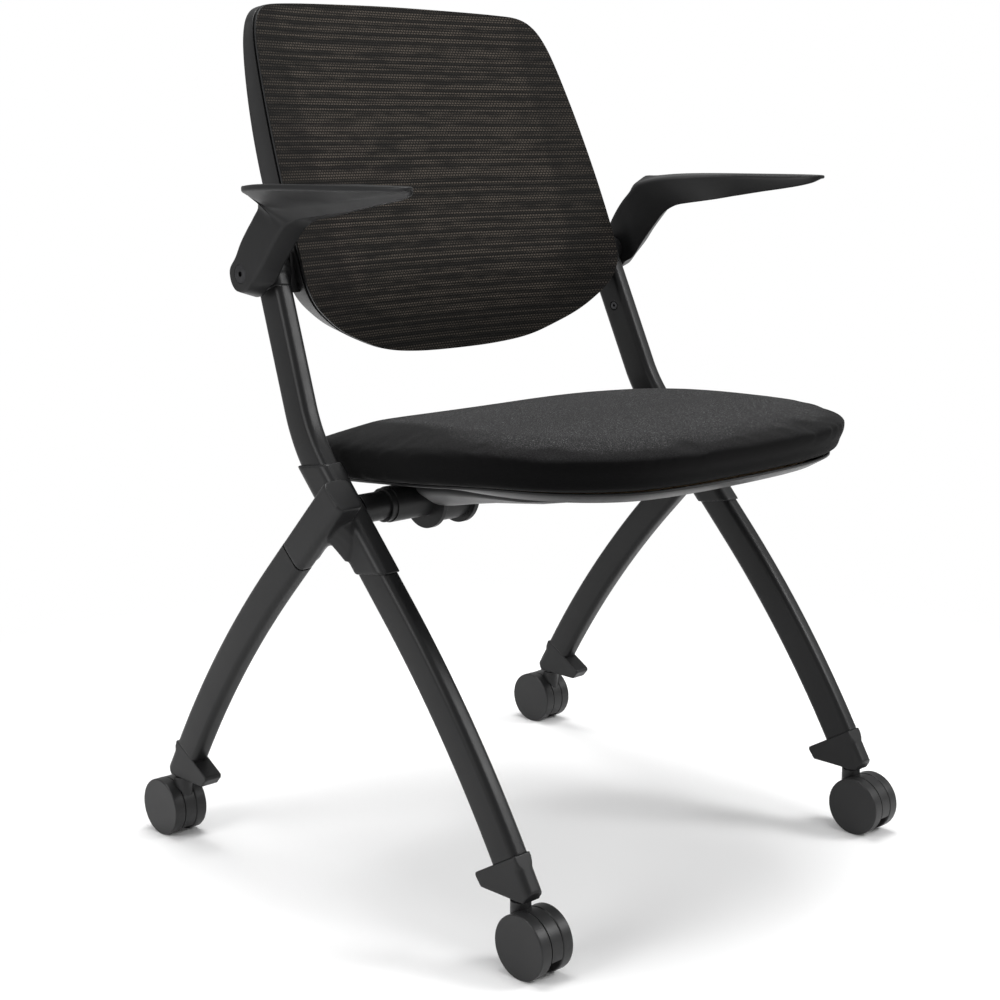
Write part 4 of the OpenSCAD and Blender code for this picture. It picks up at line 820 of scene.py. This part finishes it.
def rim():
    """Carrier strip behind the mesh's edge, with softened outer edges."""
    soft_in, soft_back = 0.4, 0.5
    back = RIM_FRONT + RIM_D
    return loft([back_ring(i, d) for i, d in (
        (soft_in, RIM_FRONT), (0, RIM_FRONT + soft_back), (0, back - soft_back), (soft_in, back),
        (RIM_W, back), (RIM_W, RIM_FRONT))], loop=True)


def shell():
    """Open frame behind the rim, with a tongue into the groove and a lip along its outer edge."""
    front = SHELL_FRONT
    outline = BACK_OUTLINE
    stations = []
    for i in range(len(outline)):
        z = outline[i][1]
        k, r = SHELL_DEPTH * depth_share(z), RELIEF * relief_share(z)
        stations.append([
            (0.6, front), (0.15, front + 0.6), (LIP + r - 1.2, front + k - 1.6), (LIP + r, front + k - 0.4),
            (LIP + r + 1, front + k), (4 * LIP + r, front + k), (SHELL_BORDER - 2, front + k / 3 + 1),
            (SHELL_BORDER, front + k / 3), (SHELL_BORDER, front), (TONGUE_W, front), (TONGUE_W, TONGUE_FRONT),
            (GROOVE, TONGUE_FRONT), (GROOVE, front)])
    along = np.roll(outline, -1, 0) - np.roll(outline, 1, 0)
    loops = []
    for j in range(len(stations[0])):
        ring = []
        for i, (x, z) in enumerate(outline):
            inset, depth = stations[i][j]
            normal = np.array([along[i][1], -along[i][0]]) / np.linalg.norm(along[i])
            px, pz = np.array([x, z]) - inset * normal
            ring.append((px, back_front(px, pz) + depth, pz))
        loops.append(ring)
    return loft(loops, loop=True)


def hub(s):
    """Round hub beside the upright with the web that joins it to the shell: one outline swept along X."""
    x_in, x_out, r = HUB_OUT - HUB_W, HUB_OUT, HUB_DIA / 2
    front = back_front(x_in, PIVOT[2] + r) + SHELL_FRONT
    outline = [(PIVOT[1] + r * cos(a), PIVOT[2] + r * sin(a)) for a in range(-90, 91, 6)]
    outline += [(front, PIVOT[2] + r - 1), (front, PIVOT[2] - r + 1)]
    rings = []
    for x, inset in ((x_in, 1), (x_in + 1, 0), (x_out - 1.2, 0), (x_out, 1.2)):
        share = 1 - inset / 20
        rings.append([(s * x, PIVOT[1] + (y - PIVOT[1]) * share, PIVOT[2] + (z - PIVOT[2]) * share)
                      for y, z in outline])
    return loft(rings)


piece("back_weave", *weave_panel(), "back", "back_mesh", ["back_mesh"])
piece("back_rim", *rim(), "back", "moulded_plastic", ["mesh_carrier"])
piece("back_frame", *shell(), "back", "moulded_plastic", ["back_shell"])
for side, s in SIDES:
    back_hub = piece("back_hub_" + side, *hub(s), "back", "moulded_plastic")
    recess(back_hub, PIVOT, HUB_OUT - BUSH_DEEP, HUB_OUT + CUT_OVER, BUSH_R, s)


# Arms: stations of six corners from the round end to the tip. Each corner is (x, y, z, corner radius),
# with y from the hinge line

STEM_UP = Vector((0, -0.43, 0.903))
STEM_FORE = Vector((0, -0.903, -0.43))
# Stem's section: inner front, inner rear, outer rear and outer front corner, as (y, z)
STEM = (
    ((92, 588), (139, 611), (131, 611), (101, 594)),
    ((80, 603), (131, 627), (122, 625), (89, 606)),
    ((68, 617), (122, 641), (111, 638), (77, 621)),
    ((57, 629), (113, 652), (101, 649), (67, 632)),
)
# Elbow, where the stem turns into the blade and its outer edge flares out
ELBOW = (
    ((ARM_IN, 47, 638.5, 2), (ARM_IN, 104, 661, 9), (ARM_OUT, 93, 662, 3),
     (ARM_OUT, 82, 656, 2), (ARM_OUT, 71, 649, 2), (271, 58, 641, 2.5)),
    ((252.2, 38, 644, 2), (252.2, 96, 667.5, 9), (280, 101, 678, 2.4),
     (281, 100, 672, 2), (272.5, 88, 662, 3), (269, 50, 646, 2.5)),
    ((252.6, 26, 648.5, 2), (252.8, 84, 672.5, 9), (292, 90, 679.5, 2.4),
     (292.5, 89, 674, 2), (275, 76, 661, 5), (266.5, 38, 649.5, 2)),
    ((254, 10, 651, 1.8), (254, 62, 677, 9), (298, 66, 681.5, 2.4),
     (298.5, 66, 676, 2), (276, 54, 660.5, 7), (264.5, 22, 652, 1.8)),
    ((256.5, -9, 653.5, 1.6), (256.5, 36, 679.5, 9), (301, 38, 682.5, 2.4),
     (301.5, 38, 677, 2), (276, 28, 663, 8), (264, 0, 654.3, 1.6)),
    ((260, -30, 656.5, 1.5), (260, 2, 681.2, 8), (303, 2, 683, 2.4),
     (303.5, 2, 677.5, 2), (276, -4, 666, 8), (266.5, -24, 657.2, 1.5)),
)
# Blade: place along Y, underside, top, inner edge, outer edge, outer edge's thickness, hollow's x and z,
# width of the strip beside the hollow
BLADE = (
    (-50, 660, 683.2, 263.5, 303.5, 5.5, 277, 669, 5.5),
    (-82, 664.8, 683.4, 267.3, 303, 5.4, 279, 672.5, 5),
    (-108, 668.4, 683.5, 271, 301.8, 5, 281.5, 675, 4.6),
    (-128, 671.6, 683.5, 274.6, 299.8, 4.6, 284, 676.8, 4.2),
    (-142, 674.8, 683.4, 278.6, 297, 4.2, 286, 678.3, 3.8),
    (-149, 678, 683.2, 282.6, 294, 3.6, 287.5, 679.6, 3),
    (-151.5, 680, 682.8, 286, 291.5, 2.2, 288.5, 680.4, 1.6),
)
# The blade's stations are drawn up to DRAWN_TIP and drawn together from BLADE_START so that they end at TIP
BLADE_START, DRAWN_TIP, TIP = 60, -151.5, -141
ARM_STEPS = 4


def arm_stations():
    out = []
    centre = Vector((0, PIVOT[1], PIVOT[2]))
    round_end = ((ARM_IN, ARM_IN_R, 1, 2.5), (ARM_IN, ARM_IN_R, -1, 4), (ARM_OUT, ARM_OUT_R, -1, 2.5),
                 (ARM_OUT, ARM_OUT_R, -0.4, 1), (ARM_OUT, ARM_OUT_R, 0.4, 1), (ARM_OUT, ARM_OUT_R, 1, 2.5))
    for turn in (8, 30, 55, 82):
        corners = []
        for x, r, way, radius in round_end:
            p = centre - STEM_UP * r * cos(turn) + STEM_FORE * r * sin(turn) * way
            corners.append((x, p[1] - HINGE_Y, p[2], radius))
        out.append(corners)
    for inner_front, inner_rear, rear, front in STEM:
        third, two_thirds = [tuple(rear[i] + (front[i] - rear[i]) * share for i in (0, 1))
                             for share in (0.33, 0.66)]
        out.append([(ARM_IN, *inner_front, 2.5), (ARM_IN, *inner_rear, 8), (ARM_OUT, *rear, 3),
                    (ARM_OUT, *third, 1), (ARM_OUT, *two_thirds, 1), (ARM_OUT - 0.5, *front, 3)])
    out += [list(station) for station in ELBOW]
    for y, low, top, in_x, out_x, lip, scoop_x, scoop_z, strip in BLADE:
        bend = min(6, (top - low) * 0.4)
        out.append([(in_x, y, low, 1.3), (in_x, y, top, bend), (out_x, y, top, 2.2),
                    (out_x, y, top - lip, 1.6), (scoop_x, y, scoop_z, 4), (in_x + strip, y, low + 0.3, 1.2)])
    return out


def arm_y(y):
    """Real place along Y of a point drawn at y."""
    if y > BLADE_START:
        return y
    return BLADE_START + (y - BLADE_START) * (BLADE_START - TIP) / (BLADE_START - DRAWN_TIP)


def arm():
    least_r = 0.3
    tracks = smooth_line(arm_stations(), ARM_STEPS)
    return loft([round_corners([(c[0], arm_y(c[1]) + HINGE_Y, c[2], max(c[3], least_r)) for c in station])
                 for station in tracks])


for side, s in SIDES:
    armrest = piece("armrest_" + side, *arm(), "arm_" + side, "moulded_plastic", ["arm_" + side],
                    mirror=s < 0)
    recess(armrest, PIVOT, ARM_OUT - BOLT_DEEP, ARM_OUT + CUT_OVER, BOLT_R, s)


# Camera, light and floor

# Place in metres, tilt from straight down and turn from the rear in degrees, lens and sensor in millimetres
CAMERA_PLACE = (-1.32975, -1.31732, 0.73098)
CAMERA_TILT, CAMERA_TURN = 78.69, -44.12
LENS, SENSOR = 66.82, 36

camera = bpy.data.objects.new("camera", bpy.data.cameras.new("camera"))
bpy.context.scene.collection.objects.link(camera)
camera.location = CAMERA_PLACE
camera.rotation_euler = (math.radians(CAMERA_TILT), 0, math.radians(CAMERA_TURN))
camera.data.sensor_width = SENSOR
camera.data.sensor_fit = "HORIZONTAL"
camera.data.lens = LENS
bpy.context.scene.camera = camera

# Half width of the floor, in metres
REACH = 30
floor_mesh = bpy.data.meshes.new("studio_floor")
corners = [(-REACH, -REACH, 0), (REACH, -REACH, 0), (REACH, REACH, 0), (-REACH, REACH, 0)]
floor_mesh.from_pydata(corners, [], [(0, 1, 2, 3)])
floor_mesh.materials.append(floor_paint())
floor = bpy.data.objects.new("studio_floor", floor_mesh)
bpy.context.scene.collection.objects.link(floor)


def lamp(name, place, target, size, power):
    """Square soft lamp in metres and watts."""
    light = bpy.data.lights.new(name, "AREA")
    light.shape, light.size, light.energy = "SQUARE", size, power
    obj = bpy.data.objects.new(name, light)
    obj.location = place
    obj.rotation_euler = (Vector(target) - Vector(place)).to_track_quat("-Z", "Y").to_euler()
    bpy.context.scene.collection.objects.link(obj)


lamp("key", (2.2, -2.6, 2.6), (0, 0, 0.45), 1.4, 80)
lamp("fill", (-3.2, 0.4, 1.8), (0, 0, 0.5), 1.6, 50)
lamp("top", (0.2, 0.3, 3.4), (0, 0, 0.4), 1.6, 80)

# The backdrop reads white to the camera and lights the chair at a plain level
world = bpy.data.worlds.new("studio")
world.use_nodes = True
nodes, links = world.node_tree.nodes, world.node_tree.links
WORLD_STRENGTH = 0.5
soft = nodes["Background"]
soft.inputs["Color"].default_value = (1, 1, 1, 1)
soft.inputs["Strength"].default_value = WORLD_STRENGTH
plain = nodes.new("ShaderNodeBackground")
plain.inputs["Color"].default_value = (1, 1, 1, 1)
plain.inputs["Strength"].default_value = 1.0
seen = nodes.new("ShaderNodeLightPath")
choice = nodes.new("ShaderNodeMixShader")
links.new(seen.outputs["Is Camera Ray"], choice.inputs[0])
links.new(soft.outputs["Background"], choice.inputs[1])
links.new(plain.outputs["Background"], choice.inputs[2])
links.new(choice.outputs["Shader"], nodes["World Output"].inputs["Surface"])
bpy.context.scene.world = world
bpy.context.scene.view_settings.view_transform = "Standard"
